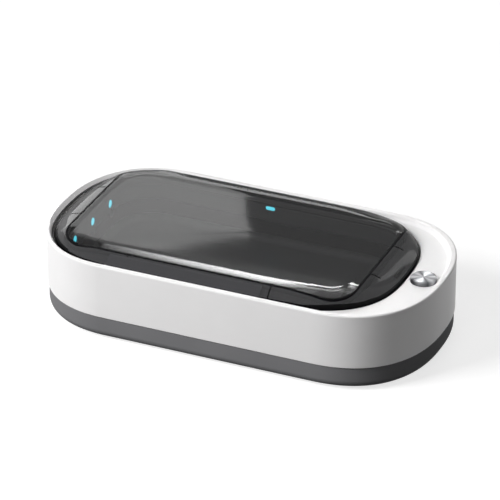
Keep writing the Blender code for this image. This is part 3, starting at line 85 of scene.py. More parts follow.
# %% [markdown]
# ## Materials
# Almost everything here is a moulded plastic. Such a surface isn't one flat colour: its gloss
# wanders a little where the mould was worn or the plastic cooled unevenly, and a fine grain
# breaks up reflections. So most finishes below are a shader with two noise patterns, one
# broad and one fine, whose sizes are given in millimetres.

# %% Colour and node helpers
def tone(text):
    """An sRGB hex colour as the linear numbers that a shader wants."""
    channels = [int(text[start:start + 2], 16) / 255 for start in (1, 3, 5)]
    linear = [value / 12.92 if value <= 0.04045 else ((value + 0.055) / 1.055) ** 2.4
              for value in channels]
    return (*linear, 1.0)


def add_node(tree, kind, settings, links=()):
    """A new node, with its settings and the sockets that feed it."""
    node = tree.nodes.new(kind)
    for name, value in settings.items():
        if name in node.inputs:
            node.inputs[name].default_value = value
        else:
            setattr(node, name, value)
    for name, source in dict(links).items():
        tree.links.new(source, node.inputs[name])
    return node


def new_material(name):
    """An empty material with its output node, its shader and its coordinates."""
    material = bpy.data.materials.new(name)
    material.use_nodes = True
    tree = material.node_tree
    shader = tree.nodes["Principled BSDF"]
    place = add_node(tree, "ShaderNodeTexCoord", {}).outputs["Object"]
    return material, tree, shader, place


# %% One recipe for surfaces with a broad drift and a fine grain
def surfaced(name, colour, roughness, ior=1.5, metallic=0.0, specular=0.5, drift_mm=18.0,
             grain_mm=0.7, shade=0.03, gloss=0.06, bump_mm=0.02):
    """A finish whose colour and gloss drift a little, with a fine grain in its relief."""
    material, tree, shader, place = new_material(name)
    shader.inputs["Metallic"].default_value = metallic
    if not metallic:
        shader.inputs["IOR"].default_value = ior
        shader.inputs["Specular IOR Level"].default_value = specular
    drift = add_node(tree, "ShaderNodeTexNoise", {"Scale": 1 / (drift_mm * MM), "Detail": 3.0},
                     {"Vector": place})
    grain = add_node(tree, "ShaderNodeTexNoise", {"Scale": 1 / (grain_mm * MM), "Detail": 2.0},
                     {"Vector": place})
    base = np.array(tone(colour)[:3])
    ramp = add_node(tree, "ShaderNodeValToRGB", {}, {"Fac": drift.outputs["Fac"]})
    for stop, position, share in zip(ramp.color_ramp.elements, (0.3, 0.7),
                                     (1 - shade, 1 + shade)):
        stop.position = position
        stop.color = (*np.clip(base * share, 0, 1), 1.0)
    tree.links.new(ramp.outputs["Color"], shader.inputs["Base Color"])
    both = add_node(tree, "ShaderNodeMath", {"operation": "ADD"},
                    {0: drift.outputs["Fac"], 1: grain.outputs["Fac"]})
    rough = add_node(tree, "ShaderNodeMapRange",
                     {"From Min": 0.6, "From Max": 1.4, "To Min": roughness - gloss / 2,
                      "To Max": roughness + gloss / 2}, {"Value": both.outputs["Value"]})
    tree.links.new(rough.outputs["Result"], shader.inputs["Roughness"])
    relief = add_node(tree, "ShaderNodeBump", {"Strength": 0.5, "Distance": bump_mm * MM},
                      {"Height": grain.outputs["Fac"]})
    tree.links.new(relief.outputs["Normal"], shader.inputs["Normal"])
    return material


# %% [markdown]
# The white tub is moulded ABS with a fine satin grain. The base is the same plastic coloured
# grey, a little rougher, so it hides scuffs from the table. The chamber is nearly black
# inside, which soaks up stray ultraviolet light. The charging mat, the seals and the feet are
# silicone rubber, which is soft and hardly shines.

# %% Plastics and rubbers
white_abs = surfaced("white satin ABS, moulded", "#f4f3f3", 0.36, ior=1.53, grain_mm=0.9,
                     shade=0.01)
grey_abs = surfaced("grey matt ABS, moulded", "#7e7e80", 0.66, ior=1.53, specular=0.02,
                    grain_mm=0.9)
dark_abs = surfaced("black ABS, moulded", "#2e2e30", 0.42, ior=1.53, grain_mm=0.9)
silicone = surfaced("black silicone rubber, moulded", "#1d1d1f", 0.62, ior=1.41, grain_mm=0.6,
                    bump_mm=0.04)
white_pom = surfaced("white acetal, moulded", "#e4e4de", 0.3, ior=1.48)
black_nylon = surfaced("black nylon, moulded", "#202022", 0.5, ior=1.53)

# %% [markdown]
# The metals are stamped zinc-plated steel for the hinges and catch plates, nickel on the
# magnets, pins and socket, and drawn copper wire in the charging coil. Metal has no colour
# under its shine, so its tone sits in the reflection. Its grain is finer than the plastics'.

# %% Metals and electronics
zinc_plate = surfaced("zinc-plated steel, stamped", "#a9abb0", 0.38, metallic=1.0, drift_mm=4.0,
                      grain_mm=0.5)
nickel_plate = surfaced("nickel plate, bright", "#c9c4ba", 0.24, metallic=1.0, drift_mm=4.0,
                        grain_mm=0.5, bump_mm=0.005)
spring_steel = surfaced("spring steel, drawn", "#8d8f93", 0.3, metallic=1.0, grain_mm=0.3)
copper_wire = surfaced("enamelled copper wire, wound", "#b5652f", 0.3, metallic=1.0,
                       grain_mm=0.4)
ferrite = surfaced("ferrite, sintered", "#2b2a2a", 0.7, grain_mm=0.4, bump_mm=0.03)
board_mask = surfaced("glass-epoxy board, green mask", "#145232", 0.34, ior=1.55, drift_mm=6.0,
                      grain_mm=0.5, shade=0.12)

# %% [markdown]
# The lid is smoked polycarbonate: clear plastic with a grey dye. Two things make it look that
# way. What lies behind it shows darker, and its polished skin mirrors the room. A shader with
# a plain alpha does both: each wall of the lid hides part of what is behind it. The ring's
# back is printed dark grey, which hides the hinges, the magnets and the glue. Black paint
# round its rim is painted shade: the dark line of the gap and of the edge seen at a grazing
# angle.

# %% Smoked polycarbonate
def smoked_plastic(name, colour, alpha, roughness):
    """Polished dyed plastic: each wall lets a share of the light behind it through."""
    material, tree, shader, place = new_material(name)
    drift = add_node(tree, "ShaderNodeTexNoise", {"Scale": 1 / (25 * MM), "Detail": 2.0},
                     {"Vector": place})
    rough = add_node(tree, "ShaderNodeMapRange",
                     {"To Min": roughness * 0.8, "To Max": roughness * 1.2},
                     {"Value": drift.outputs["Fac"]})
    tree.links.new(rough.outputs["Result"], shader.inputs["Roughness"])
    shader.inputs["Base Color"].default_value = tone(colour)
    shader.inputs["IOR"].default_value = 1.58
    shader.inputs["Alpha"].default_value = alpha
    material.surface_render_method = "BLENDED"
    return material


smoked_frame = smoked_plastic("smoked polycarbonate, lid ring", "#3a3a3c", 0.52, 0.05)
smoked_window = smoked_plastic("smoked polycarbonate, lid window", "#141416", 0.36, 0.05)
grey_print = surfaced("dark grey ink, screen-printed", "#3e3e40", 0.5, specular=0.2)
# This black paint is painted shade: it darkens the gap round the lid, the ring's edge and the
# grooves.
black_shade_paint = surfaced("black paint, painted shade in gaps, edges and grooves", "#070708", 0.5, specular=0.1)
black_seal = surfaced("black silicone rubber, extruded", "#08080a", 0.6, ior=1.41,
                      specular=0.05)

# %% [markdown]
# The lamps are ultraviolet LEDs. Their own light can't be seen, but the makers add a little
# blue, so that a lit lamp glows cyan under its clear epoxy dome. The barrel behind the dome
# is black, so it shows no light from the back.

# %% Lamp lens
lamp_glow, tree, shader, place = new_material("clear epoxy, lit cyan")
shader.inputs["Base Color"].default_value = tone("#7fe3f0")
shader.inputs["Roughness"].default_value = 0.15
shader.inputs["Emission Color"].default_value = tone("#58dcf2")
shader.inputs["Emission Strength"].default_value = 1.9

# %% [markdown]
# The button's cap is turned on a lathe. Its face keeps very fine circular tool marks, which
# spread each reflection into a pair of bright fan shapes. The shader's anisotropy does this,
# with a tangent that runs round the button's middle. On top of that, the metal's colour holds a
# painted highlight: its grey changes with the angle, alike on opposite sides, in bright and
# dark fan shapes. Each entry of the table below is an angle in degrees and the painted grey
# there.

# %% Spun aluminium, with a painted highlight
BUTTON_X = 98.75 * MM
PAINTED_FANS = ((0, "#7e7f81"), (23, "#b8b9bb"), (43, "#38393b"), (60, "#626365"), (88, "#9c9d9f"),
        (108, "#828385"), (130, "#525355"), (156, "#bcbdbf"))
spun_metal_painted_highlight, tree, shader, place = new_material("aluminium, spun and anodised, painted highlight")
shader.inputs["Metallic"].default_value = 1.0
shader.inputs["Roughness"].default_value = 0.3
shader.inputs["Anisotropic"].default_value = 0.95
shader.inputs["Anisotropic Rotation"].default_value = 0.25
around = add_node(tree, "ShaderNodeTangent", {"direction_type": "RADIAL", "axis": "Z"})
tree.links.new(around.outputs["Tangent"], shader.inputs["Tangent"])
centred = add_node(tree, "ShaderNodeMapping", {"Location": (-BUTTON_X, 0.0, 0.0)},
                   {"Vector": place})
# The radial gradient picks the painted highlight grey for each angle round the button.
turn = add_node(tree, "ShaderNodeTexGradient", {"gradient_type": "RADIAL"},
                {"Vector": centred.outputs["Vector"]})
painted_fans = add_node(tree, "ShaderNodeValToRGB", {}, {"Fac": turn.outputs["Fac"]})
for end in painted_fans.color_ramp.elements:
    end.color = tone(PAINTED_FANS[0][1])
painted_fan_stops = [(half + angle / 360, grey) for half in (0.0, 0.5) for angle, grey in PAINTED_FANS]
for position, grey in painted_fan_stops[1:]:
    painted_fans.color_ramp.elements.new(position).color = tone(grey)
tree.links.new(painted_fans.outputs["Color"], shader.inputs["Base Color"])
print(len(bpy.data.materials), "materials")

# %% [markdown]
# ## Outlines
# Seen from above, the tub and the lid are rounder than rectangles and blunter than ovals.
# Both are superellipses at their ends, joined by straight sides. An end's reach is how far its
# rounding runs along the box, and its power how blunt it is. Every loop of the shells below is
# a circle of vertices pulled out onto such an outline. The same vertices always lie on the
# same rays from a short spine in the lid's middle, so any loop can be joined to any other.

# %% Sizes of the outlines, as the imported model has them
COUNT = 256
BODY_LENGTH = 222.2 * MM
BODY_WIDTH = 118.0 * MM
BODY_REACH = 53.1 * MM
BODY_POWER = 2.336
LID_LEFT = -106.2 * MM
LID_RIGHT = 89.2 * MM
LID_CENTRE = (LID_LEFT + LID_RIGHT) / 2
LID_HALF_WIDTH = 54.2 * MM
LID_LEFT_REACH = 45.5 * MM
LID_LEFT_POWER = 2.39
LID_RIGHT_REACH = 66.2 * MM
LID_RIGHT_POWER = 2.83
SPINE = 36.2 * MM
FAR_OUT = 200.0 * MM
HALVINGS = 40

turns = math.pi / 2 + np.arange(COUNT) * math.tau / COUNT
cosines = np.cos(turns)
sines = np.sin(turns)


def lid_loop():
    """The circle's vertices, pulled out onto the lid's outline."""
    right = cosines > 0
    reach = np.where(right, LID_RIGHT_REACH, LID_LEFT_REACH)
    power = np.where(right, LID_RIGHT_POWER, LID_LEFT_POWER)
    corner = np.where(right, LID_RIGHT - reach, LID_LEFT + reach)
    x = corner + np.sign(cosines) * reach * np.abs(cosines) ** (2 / power)
    y = LID_HALF_WIDTH * np.sign(sines) * np.abs(sines) ** (2 / power)
    return np.stack((x, y), 1)


lid_edge = lid_loop()
ray_start = np.stack((LID_CENTRE + np.clip(lid_edge[:, 0] - LID_CENTRE, -SPINE, SPINE),
                      np.zeros(COUNT)), 1)
rays = lid_edge - ray_start
rays /= np.linalg.norm(rays, axis=1)[:, None]
print("lid", np.ptp(lid_edge, 0).round(4))

# %% Where the rays meet other outlines
def meet(is_outside):
    """Points where the rays leave a shape, closed in on by halving again and again."""
    inner = np.zeros(COUNT)
    outer = np.full(COUNT, FAR_OUT)
    for halving in range(HALVINGS):
        middle = (inner + outer) / 2
        beyond = is_outside(ray_start + rays * middle[:, None])
        outer = np.where(beyond, middle, outer)
        inner = np.where(beyond, inner, middle)
    return ray_start + rays * inner[:, None]


def outside_body(points):
    """True where a point lies beyond the body's outline."""
    along = np.maximum(np.abs(points[:, 0]) - BODY_LENGTH / 2 + BODY_REACH, 0) / BODY_REACH
    across = np.abs(points[:, 1]) / (BODY_WIDTH / 2)
    return along ** BODY_POWER + across ** BODY_POWER > 1


def rectangle(half_length, half_width, corner):
    """Where the rays meet a rounded rectangle about the lid's middle."""
    def outside(points):
        """True where a point lies beyond the rectangle."""
        across = np.maximum(np.abs(points[:, 0] - LID_CENTRE) - half_length + corner, 0)
        upward = np.maximum(np.abs(points[:, 1]) - half_width + corner, 0)
        return np.hypot(across, upward) > corner
    return meet(outside)


def inset(loop, distance):
    """The loop moved inward, square to itself; a negative distance moves it out."""
    first = loop - np.roll(loop, 1, 0)
    second = np.roll(loop, -1, 0) - loop
    first /= np.linalg.norm(first, axis=1)[:, None]
    second /= np.linalg.norm(second, axis=1)[:, None]
    along = first + second
    inward = np.stack((-along[:, 1], along[:, 0]), 1)
    inward /= np.linalg.norm(inward, axis=1)[:, None]
    spread = np.maximum((inward * np.stack((-first[:, 1], first[:, 0]), 1)).sum(1), 0.5)
    return loop + inward * (distance / spread)[:, None]


def pull_in(loop, distance):
    """The loop moved inward along the rays, by one distance or one for each ray."""
    return loop - rays * np.broadcast_to(distance, COUNT)[:, None]


def at(loop, height):
    """The loop at a height, or at a height for each ray."""
    return np.column_stack((loop, np.broadcast_to(height, COUNT)))


body_edge = meet(outside_body)
print("body", np.ptp(body_edge, 0).round(4))

# %% [markdown]
# Some sizes change towards the left end. A ray's leftness says how much of that change it
# gets: all of it at the left end, none right of the lid's middle, and less on the near side.

# %% Leftness
LEFT_SPAN = 60.0 * MM
NEAR_FADE = 1.3
leftness = np.clip((LID_CENTRE - lid_edge[:, 0]) / LEFT_SPAN, 0, 1)
leftness *= np.clip(NEAR_FADE * (1 + rays[:, 1]), 0, 1)
print("leftness up to", leftness.max())

# %% [markdown]
# A shell is then grown like a coil pot. It starts as a circle, whose vertices move onto the
# first loop. The edges are extruded, the new vertices move onto the next loop, and so on. A
# closed shell ends where it began, and an open one gets a flat face at each end.

# %% Growing a shell loop by loop
SHARP_ANGLE = 35.0
MERGE = 0.001 * MM


def object_from(shape, name, *finishes):
    """Turns a bmesh into an object with its finishes, and puts it in the scene."""
    mesh = bpy.data.meshes.new(name)
    shape.to_mesh(mesh)
    shape.free()
    for finish in finishes:
        mesh.materials.append(finish)
    thing = bpy.data.objects.new(name, mesh)
    bpy.context.scene.collection.objects.link(thing)
    return thing


def finish_mesh(shape, name, material, body, replaced, sharp=SHARP_ANGLE):
    """Turns a bmesh into a piece that rides on a body and stands for its nodes."""
    bmesh.ops.remove_doubles(shape, verts=shape.verts, dist=MERGE)
    bmesh.ops.recalc_face_normals(shape, faces=shape.faces)
    piece = object_from(shape, name, material)
    piece.data.shade_smooth()
    piece.data.set_sharp_from_angle(angle=math.radians(sharp))
    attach(piece, body)
    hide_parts(*replaced)
    return piece


def grow(rings, closed=True):
    """A skin through loops of points, made by extruding a circle's edges."""
    shape = bmesh.new()
    bmesh.ops.create_circle(shape, segments=len(rings[0]), radius=1.0)
    shape.verts.ensure_lookup_table()
    row = list(shape.verts)
    edges = list(shape.edges)
    for vert, place in zip(row, rings[0]):
        vert.co = place
    if not closed:
        shape.faces.new(row)
    for ring in list(rings[1:]) + ([rings[0]] if closed else []):
        grown = bmesh.ops.extrude_edge_only(shape, edges=edges)["geom"]
        fresh = {part for part in grown if isinstance(part, bmesh.types.BMVert)}
        edges = [part for part in grown if isinstance(part, bmesh.types.BMEdge)
                 and part.verts[0] in fresh and part.verts[1] in fresh]
        row = [next(edge.other_vert(vert) for edge in vert.link_edges
                    if edge.other_vert(vert) in fresh) for vert in row]
        for vert, place in zip(row, ring):
            vert.co = place
    if not closed:
        shape.faces.new(row)
    return shape


def arc(steps):
    """Sines and cosines along a quarter turn, for rounding an edge."""
    angles = np.radians(np.linspace(0, 90, steps + 1))
    return list(zip(np.sin(angles), np.cos(angles)))


# %% [markdown]
# Holes are drilled with a Boolean modifier, which is then applied. Its cutters are plain
# turned or boxed shapes that don't stay in the scene.

# %% Turned and boxed shapes
def turned_shape(profile, place, steps=48, heading=(0, 0, 1)):
    """A profile of (radius, height), spun about an axis through place."""
    shape = bmesh.new()
    verts = [shape.verts.new((radius, 0.0, height)) for radius, height in profile]
    edges = [shape.edges.new(pair) for pair in zip(verts, verts[1:])]
    bmesh.ops.spin(shape, geom=verts + edges, cent=(0, 0, 0), axis=(0, 0, 1),
                   angle=math.tau, steps=steps, use_merge=True)
    bmesh.ops.remove_doubles(shape, verts=shape.verts, dist=MERGE)
    bmesh.ops.recalc_face_normals(shape, faces=shape.faces)
    turn = Vector((0, 0, 1)).rotation_difference(Vector(heading)).to_matrix().to_4x4()
    bmesh.ops.transform(shape, matrix=Matrix.Translation(place) @ turn, verts=shape.verts)
    return shape


def rod(radius, reach, place, steps=32, heading=(0, 0, 1)):
    """A cylinder that reaches as far forward as back from its place."""
    return turned_shape(((0, reach), (radius, reach), (radius, -reach), (0, -reach)), place,
                        steps, heading)


def boxed_shape(low, high):
    """A box between two corners."""
    shape = bmesh.new()
    bmesh.ops.create_cube(shape, size=1.0)
    low = Vector(low)
    high = Vector(high)
    place = Matrix.Translation((low + high) / 2) @ Matrix.Diagonal((*(high - low), 1.0))
    bmesh.ops.transform(shape, matrix=place, verts=shape.verts)
    return shape


def edges_along(shape, axis):
    """The edges that run along an axis: 0 is X, 1 is Y and 2 is Z."""
    return [edge for edge in shape.edges
            if abs(edge.verts[0].co[axis] - edge.verts[1].co[axis]) > 0.1 * MM]


def edges_level(shape, axis, place):
    """The edges that lie at one place on an axis."""
    return [edge for edge in shape.edges
            if all(abs(vert.co[axis] - place) < 0.01 * MM for vert in edge.verts)]


def round_edges(shape, edges, radius, segments):
    """Rounds some of a shape's edges."""
    bmesh.ops.bevel(shape, geom=edges, offset=radius, segments=segments, profile=0.5,
                    affect="EDGES", material=-1)


# %% Drilling and joining
def shape_with(piece, tools):
    """Joins or cuts a piece with (operation, bmesh, finish of the cut) tools."""
    helpers = []
    for operation, shape, *finish in tools:
        helper = object_from(shape, "tool", *finish)
        change = piece.modifiers.new("tool", "BOOLEAN")
        change.operation = operation
        change.solver = "EXACT"
        change.object = helper
        if finish:
            change.material_mode = "TRANSFER"
        helpers.append(helper)
    view = bpy.context.evaluated_depsgraph_get()
    result = bpy.data.meshes.new_from_object(piece.evaluated_get(view))
    piece.modifiers.clear()
    piece.data = result
    for helper in helpers:
        bpy.data.objects.remove(helper)
    result.shade_smooth()
    result.set_sharp_from_angle(angle=math.radians(SHARP_ANGLE))


def settle_shading(piece):
    """Wide faces keep their own normals, so that small roundings don't tilt them."""
    weighting = piece.modifiers.new("weighted normals", "WEIGHTED_NORMAL")
    weighting.keep_sharp = True
    weighting.weight = 60


# %% [markdown]
# ## The tub
# The upper shell is one moulding: an upright wall, a rounded rim, a deck that is sunk 3 mm
# below it, and a pocket in the deck for the lid. At the left the rim follows the lid closely,
# slopes down towards it and leaves only a thin ring of deck. At the right the deck widens for
# the button.

# %% Levels of the tub
SEAM_Z = 14.0 * MM
RIM_Z = 44.9 * MM
DECK_Z = 41.9 * MM
DECK_UNDER = 39.5 * MM
LEDGE_Z = 36.2 * MM
LEDGE_UNDER = 34.0 * MM
LEDGE_REACH = 2.2 * MM
WALL = 2.6 * MM
LIP_WIDTH = 3.6 * MM
RECESS_GAP = 1.2 * MM
POCKET_GAP = 1.0 * MM
POCKET_WALL = 2.2 * MM
LEFT_GAP = 0.65 * MM
RIM_ROUND = 0.9 * MM
SEAM_ROUND = 0.4 * MM
POCKET_ROUND = 0.25 * MM
DECK_FILLET = 1.8 * MM
FILLET_SHARE = 0.6
LEAN_WIDTH = 2.9 * MM
LEAN_FALL = 1.7 * MM
LEAN_STEPS = 8
LEAST_STEP = 0.4 * MM
ROOF_SPAN = 3.0 * MM
GAP = 0.3 * MM

# %% Tub shell
def rim_inside():
    """The rim's inner edge: it follows the lid at the left and the body at the right."""
    by_lid = inset(lid_edge, -RECESS_GAP - LEFT_GAP * leftness)
    by_body = inset(body_edge, LIP_WIDTH)
    return np.where((lid_edge[:, 0] < LID_CENTRE)[:, None], by_lid, by_body)


def tub_rings():
    """The tub's section: up the wall, over the rim, down to the ledge and back under it."""
    recess = rim_inside()
    pocket = inset(lid_edge, -POCKET_GAP - LEFT_GAP * leftness)
    opening = inset(lid_edge, LEDGE_REACH)
    inner_wall = inset(body_edge, WALL)
    room = ((recess - pocket) * rays).sum(1)
    fillet = np.minimum(DECK_FILLET, room * FILLET_SHARE)
    top_room = ((inset(body_edge, RIM_ROUND) - recess) * rays).sum(1)
    lean = RIM_ROUND + (np.minimum(LEAN_WIDTH, top_room) - RIM_ROUND) * leftness
    lean = np.maximum(lean, RIM_ROUND)
    fall = RIM_ROUND + (LEAN_FALL - RIM_ROUND) * leftness
    fillet_rise = np.minimum(DECK_FILLET, RIM_Z - fall - DECK_Z)
    spare = ((inner_wall - inset(lid_edge, -POCKET_GAP - POCKET_WALL)) * rays).sum(1)
    step_in = np.maximum(spare, LEAST_STEP)
    hollow = pull_in(inner_wall, step_in)
    low_roof = LEDGE_UNDER + LEAST_STEP
    roof = low_roof + (DECK_UNDER - low_roof) * np.clip((step_in - LEAST_STEP) / ROOF_SPAN, 0, 1)
    rings = [at(inner_wall, SEAM_Z)]
    rings += [at(inset(body_edge, SEAM_ROUND * (1 - s)), SEAM_Z + SEAM_ROUND * (1 - c))
              for s, c in arc(2)]
    rings += [at(inset(body_edge, RIM_ROUND * (1 - c)), RIM_Z - RIM_ROUND * (1 - s))
              for s, c in arc(5)]
    for step, (s, c) in enumerate(arc(LEAN_STEPS)):
        straight = step / LEAN_STEPS
        inward = s + (straight - s) * leftness
        down = 1 - c + (straight - 1 + c) * leftness
        rings.append(at(pull_in(recess, -lean * (1 - inward)), RIM_Z - fall * down))
    rings += [at(pull_in(recess, fillet * (1 - c)), DECK_Z + fillet_rise * (1 - s))
              for s, c in arc(5)]
    rings += [at(inset(pocket, -POCKET_ROUND * (1 - s)), DECK_Z - POCKET_ROUND * (1 - c))
              for s, c in arc(2)]
    rings += [at(pocket, LEDGE_Z), at(opening, LEDGE_Z), at(opening, LEDGE_UNDER),
              at(hollow, LEDGE_UNDER), at(hollow, roof), at(inner_wall, roof)]
    return rings


tub = finish_mesh(grow(tub_rings()), "white_tub", white_abs, "case", ["upper_housing"])
print("tub faces", len(tub.data.polygons))

# %% [markdown]
# The button slides in a tube under the deck. The tube is joined to the tub, and then one
# stepped cutter opens the bore and the hole in its floor for the stem. A fine chamfer round
# the bore catches the light.

# %% Button guide
BUTTON_Z = 44.2 * MM
BUTTON_RADIUS = 6.9 * MM
BUTTON_GAP = 0.25 * MM
BORE = BUTTON_RADIUS + BUTTON_GAP
BORE_CHAMFER = 0.25 * MM
STEM_HOLE = 2.6 * MM
GUIDE_FLOOR = 33.3 * MM
GUIDE_BASE = 1.6 * MM
GUIDE_HEIGHT = 9.0 * MM
GUIDE_WALL = 1.5 * MM
GUIDE_RADIUS = BORE + GUIDE_WALL
CUTTER_RISE = 4.4 * MM
CUTTER_SPARE = 1.4 * MM

guide = turned_shape(((0, GUIDE_HEIGHT), (GUIDE_RADIUS, GUIDE_HEIGHT), (GUIDE_RADIUS, 0),
                      (0, 0)), (BUTTON_X, 0, GUIDE_FLOOR - GUIDE_BASE), 64)
flare = BORE + BORE_CHAMFER
deck = DECK_Z - GUIDE_FLOOR
above = deck + CUTTER_RISE
below = -GUIDE_BASE - CUTTER_SPARE
cutter = turned_shape(((0, above), (flare, above), (flare, deck), (BORE, deck - BORE_CHAMFER),
                       (BORE, 0), (STEM_HOLE, 0), (STEM_HOLE, below), (0, below)),
                      (BUTTON_X, 0, GUIDE_FLOOR), 64)
shape_with(tub, [("UNION", guide), ("DIFFERENCE", cutter)])
settle_shading(tub)
print("tub faces with guide", len(tub.data.polygons))

# %% [markdown]
# ## The base
# The lower shell is a dish with a generous fillet under its edge, so the box seems to float
# on a shadow. It stands 0.6 mm behind the white wall, which draws the dark seam line.

# %% Base shell
BASE_BOTTOM = 1.0 * MM
BASE_TOP = SEAM_Z - GAP
BASE_INSET = 0.6 * MM
BASE_WALL = 2.4 * MM
BASE_FILLET = 5.0 * MM
BASE_EDGE = 0.4 * MM
TONGUE_WALL = 1.2 * MM
TONGUE_RISE = 2.8 * MM
TONGUE_ROOT = 1.4 * MM


def base_rings():
    """The base's section: from its underside up to the tongue, and down to its floor."""
    outer = inset(body_edge, BASE_INSET)
    inner = inset(outer, BASE_WALL)
    tongue = inset(body_edge, WALL + GAP)
    tongue_inner = inset(tongue, TONGUE_WALL)
    inner_fillet = BASE_FILLET - BASE_WALL
    inner_floor = BASE_BOTTOM + BASE_WALL
    rings = [at(inset(outer, BASE_FILLET * (1 - s)), BASE_BOTTOM + BASE_FILLET * (1 - c))
             for s, c in arc(10)]
    rings += [at(inset(outer, BASE_EDGE * (1 - c)), BASE_TOP - BASE_EDGE * (1 - s))
              for s, c in arc(3)]
    rings += [at(tongue, BASE_TOP), at(tongue, BASE_TOP + TONGUE_RISE),
              at(tongue_inner, BASE_TOP + TONGUE_RISE),
              at(tongue_inner, BASE_TOP - TONGUE_ROOT), at(inner, BASE_TOP - TONGUE_ROOT)]
    rings += [at(inset(inner, inner_fillet * (1 - c)), inner_floor + inner_fillet * (1 - s))
              for s, c in arc(4)]
    return rings


base = finish_mesh(grow(base_rings(), closed=False), "grey_base", grey_abs, "case",
                   ["base_cover"])
print("base faces", len(base.data.polygons))

# %% [markdown]
# Underneath are four wells for the case screws and four seats for the feet. The power socket
# looks out of a rounded slot in the middle of the rear. Each round opening is given by its
# radius and its lowest and highest level.

# %% Openings in the base
CASE_SCREWS = [(x * MM, y * MM) for x in (-70, 70) for y in (-51, 51)]
FEET = {f"{row}_{side}": (x * MM, y * MM) for row, y in (("front", -36), ("rear", 36))
        for side, x in (("left", -75), ("right", 75))}
PILLAR = (4.2 * MM, 2.2 * MM, 10.0 * MM)
HEAD_WELL = (3.0 * MM, 0.0, 4.7 * MM)
SHANK_HOLE = (1.7 * MM, 3.7 * MM, 11.0 * MM)
FOOT_SEAT = (6.3 * MM, 0.0, 2.0 * MM)
SOCKET_Z = 10.3 * MM
SLOT_LENGTH = 9.8 * MM
SLOT_HEIGHT = 4.0 * MM
SLOT_CORNER = 1.9 * MM
SLOT_START = 53.0 * MM
SLOT_END = 62.0 * MM


def drill(radius, low, high, x, y, steps=32):
    """An upright round tool between two levels."""
    return turned_shape(((0, high - low), (radius, high - low), (radius, 0), (0, 0)),
                        (x, y, low), steps)


openings = [("UNION", drill(*PILLAR, x, y)) for x, y in CASE_SCREWS]
for x, y in CASE_SCREWS:
    openings.append(("DIFFERENCE", drill(*HEAD_WELL, x, y)))
    openings.append(("DIFFERENCE", drill(*SHANK_HOLE, x, y)))
for x, y in FEET.values():
    openings.append(("DIFFERENCE", drill(*FOOT_SEAT, x, y, 48)))
slot = boxed_shape((-SLOT_LENGTH / 2, SLOT_START, SOCKET_Z - SLOT_HEIGHT / 2),
                   (SLOT_LENGTH / 2, SLOT_END, SOCKET_Z + SLOT_HEIGHT / 2))
round_edges(slot, edges_along(slot, 1), SLOT_CORNER, 8)
openings.append(("DIFFERENCE", slot))
shape_with(base, openings)
settle_shading(base)
print("base faces with openings", len(base.data.polygons))

# %% [markdown]
# ## The chamber
# A dark tub hangs from a flange under the lid. Its walls lean in a little, so it slips off
# its mould. The flange turns up at its edge and lines the pocket. Its collar there is painted
# black, as painted shade, so the gap round the lid looks black.

# %% Chamber tub
FLANGE_Z = 36.5 * MM
FLANGE_TOP = 37.7 * MM
FLANGE_PLAY = 0.15 * MM
LIP_TOP = 39.6 * MM
LIP_EASE = 0.2 * MM
COLLAR_TOP = 41.6 * MM
COLLAR_LIFT = 0.7 * MM
COLLAR_GAP = 0.45 * MM
FLOOR_Z = 19.0 * MM
FLOOR_THICKNESS = 1.6 * MM
CHAMBER_WALL = 1.4 * MM
CHAMBER_FILLET = 4.0 * MM
DRAFT = 1.8 * MM
MOUTH_HALF_LENGTH = 84.8 * MM
MOUTH_HALF_WIDTH = 47.3 * MM
MOUTH_CORNER = 24.0 * MM


def mouth(outward=0.0):
    """The chamber's mouth, or a loop that lies a distance outside it."""
    return rectangle(MOUTH_HALF_LENGTH + outward, MOUTH_HALF_WIDTH + outward,
                     MOUTH_CORNER + outward)


def chamber_rings():
    """The chamber's section: from under its floor, round flange and collar, to its floor."""
    outer_fillet = CHAMBER_FILLET + FLOOR_THICKNESS
    under = FLOOR_Z - FLOOR_THICKNESS
    rings = [at(mouth(-DRAFT - outer_fillet * (1 - s)), under + outer_fillet * (1 - c))
             for s, c in arc(4)]
    flange = inset(lid_edge, FLANGE_PLAY - POCKET_GAP - LEFT_GAP * leftness)
    collar = inset(lid_edge, -COLLAR_GAP)
    collar_top = COLLAR_TOP + COLLAR_LIFT * leftness
    rings += [at(mouth(CHAMBER_WALL), FLANGE_Z), at(flange, FLANGE_Z), at(flange, collar_top),
              at(collar, collar_top), at(collar, FLANGE_TOP), at(mouth(CHAMBER_WALL), FLANGE_TOP),
              at(mouth(CHAMBER_WALL), LIP_TOP - LIP_EASE),
              at(mouth(CHAMBER_WALL - LIP_EASE), LIP_TOP), at(mouth(LIP_EASE), LIP_TOP),
              at(mouth(), LIP_TOP - LIP_EASE)]
    rings += [at(mouth(-DRAFT - CHAMBER_FILLET * (1 - c)), FLOOR_Z + CHAMBER_FILLET * (1 - s))
              for s, c in arc(6)]
    return rings


chamber = finish_mesh(grow(chamber_rings(), closed=False), "chamber_tub", dark_abs, "case",
                      ["chamber_liner"])
print("chamber faces", len(chamber.data.polygons))

# %% [markdown]
# The charging mat lies in a shallow seat in the chamber's floor, with three grooves that keep
# a device from sliding. The walls have eight lamp windows: three round ones at each end, and
# a flat one high up in each long side.

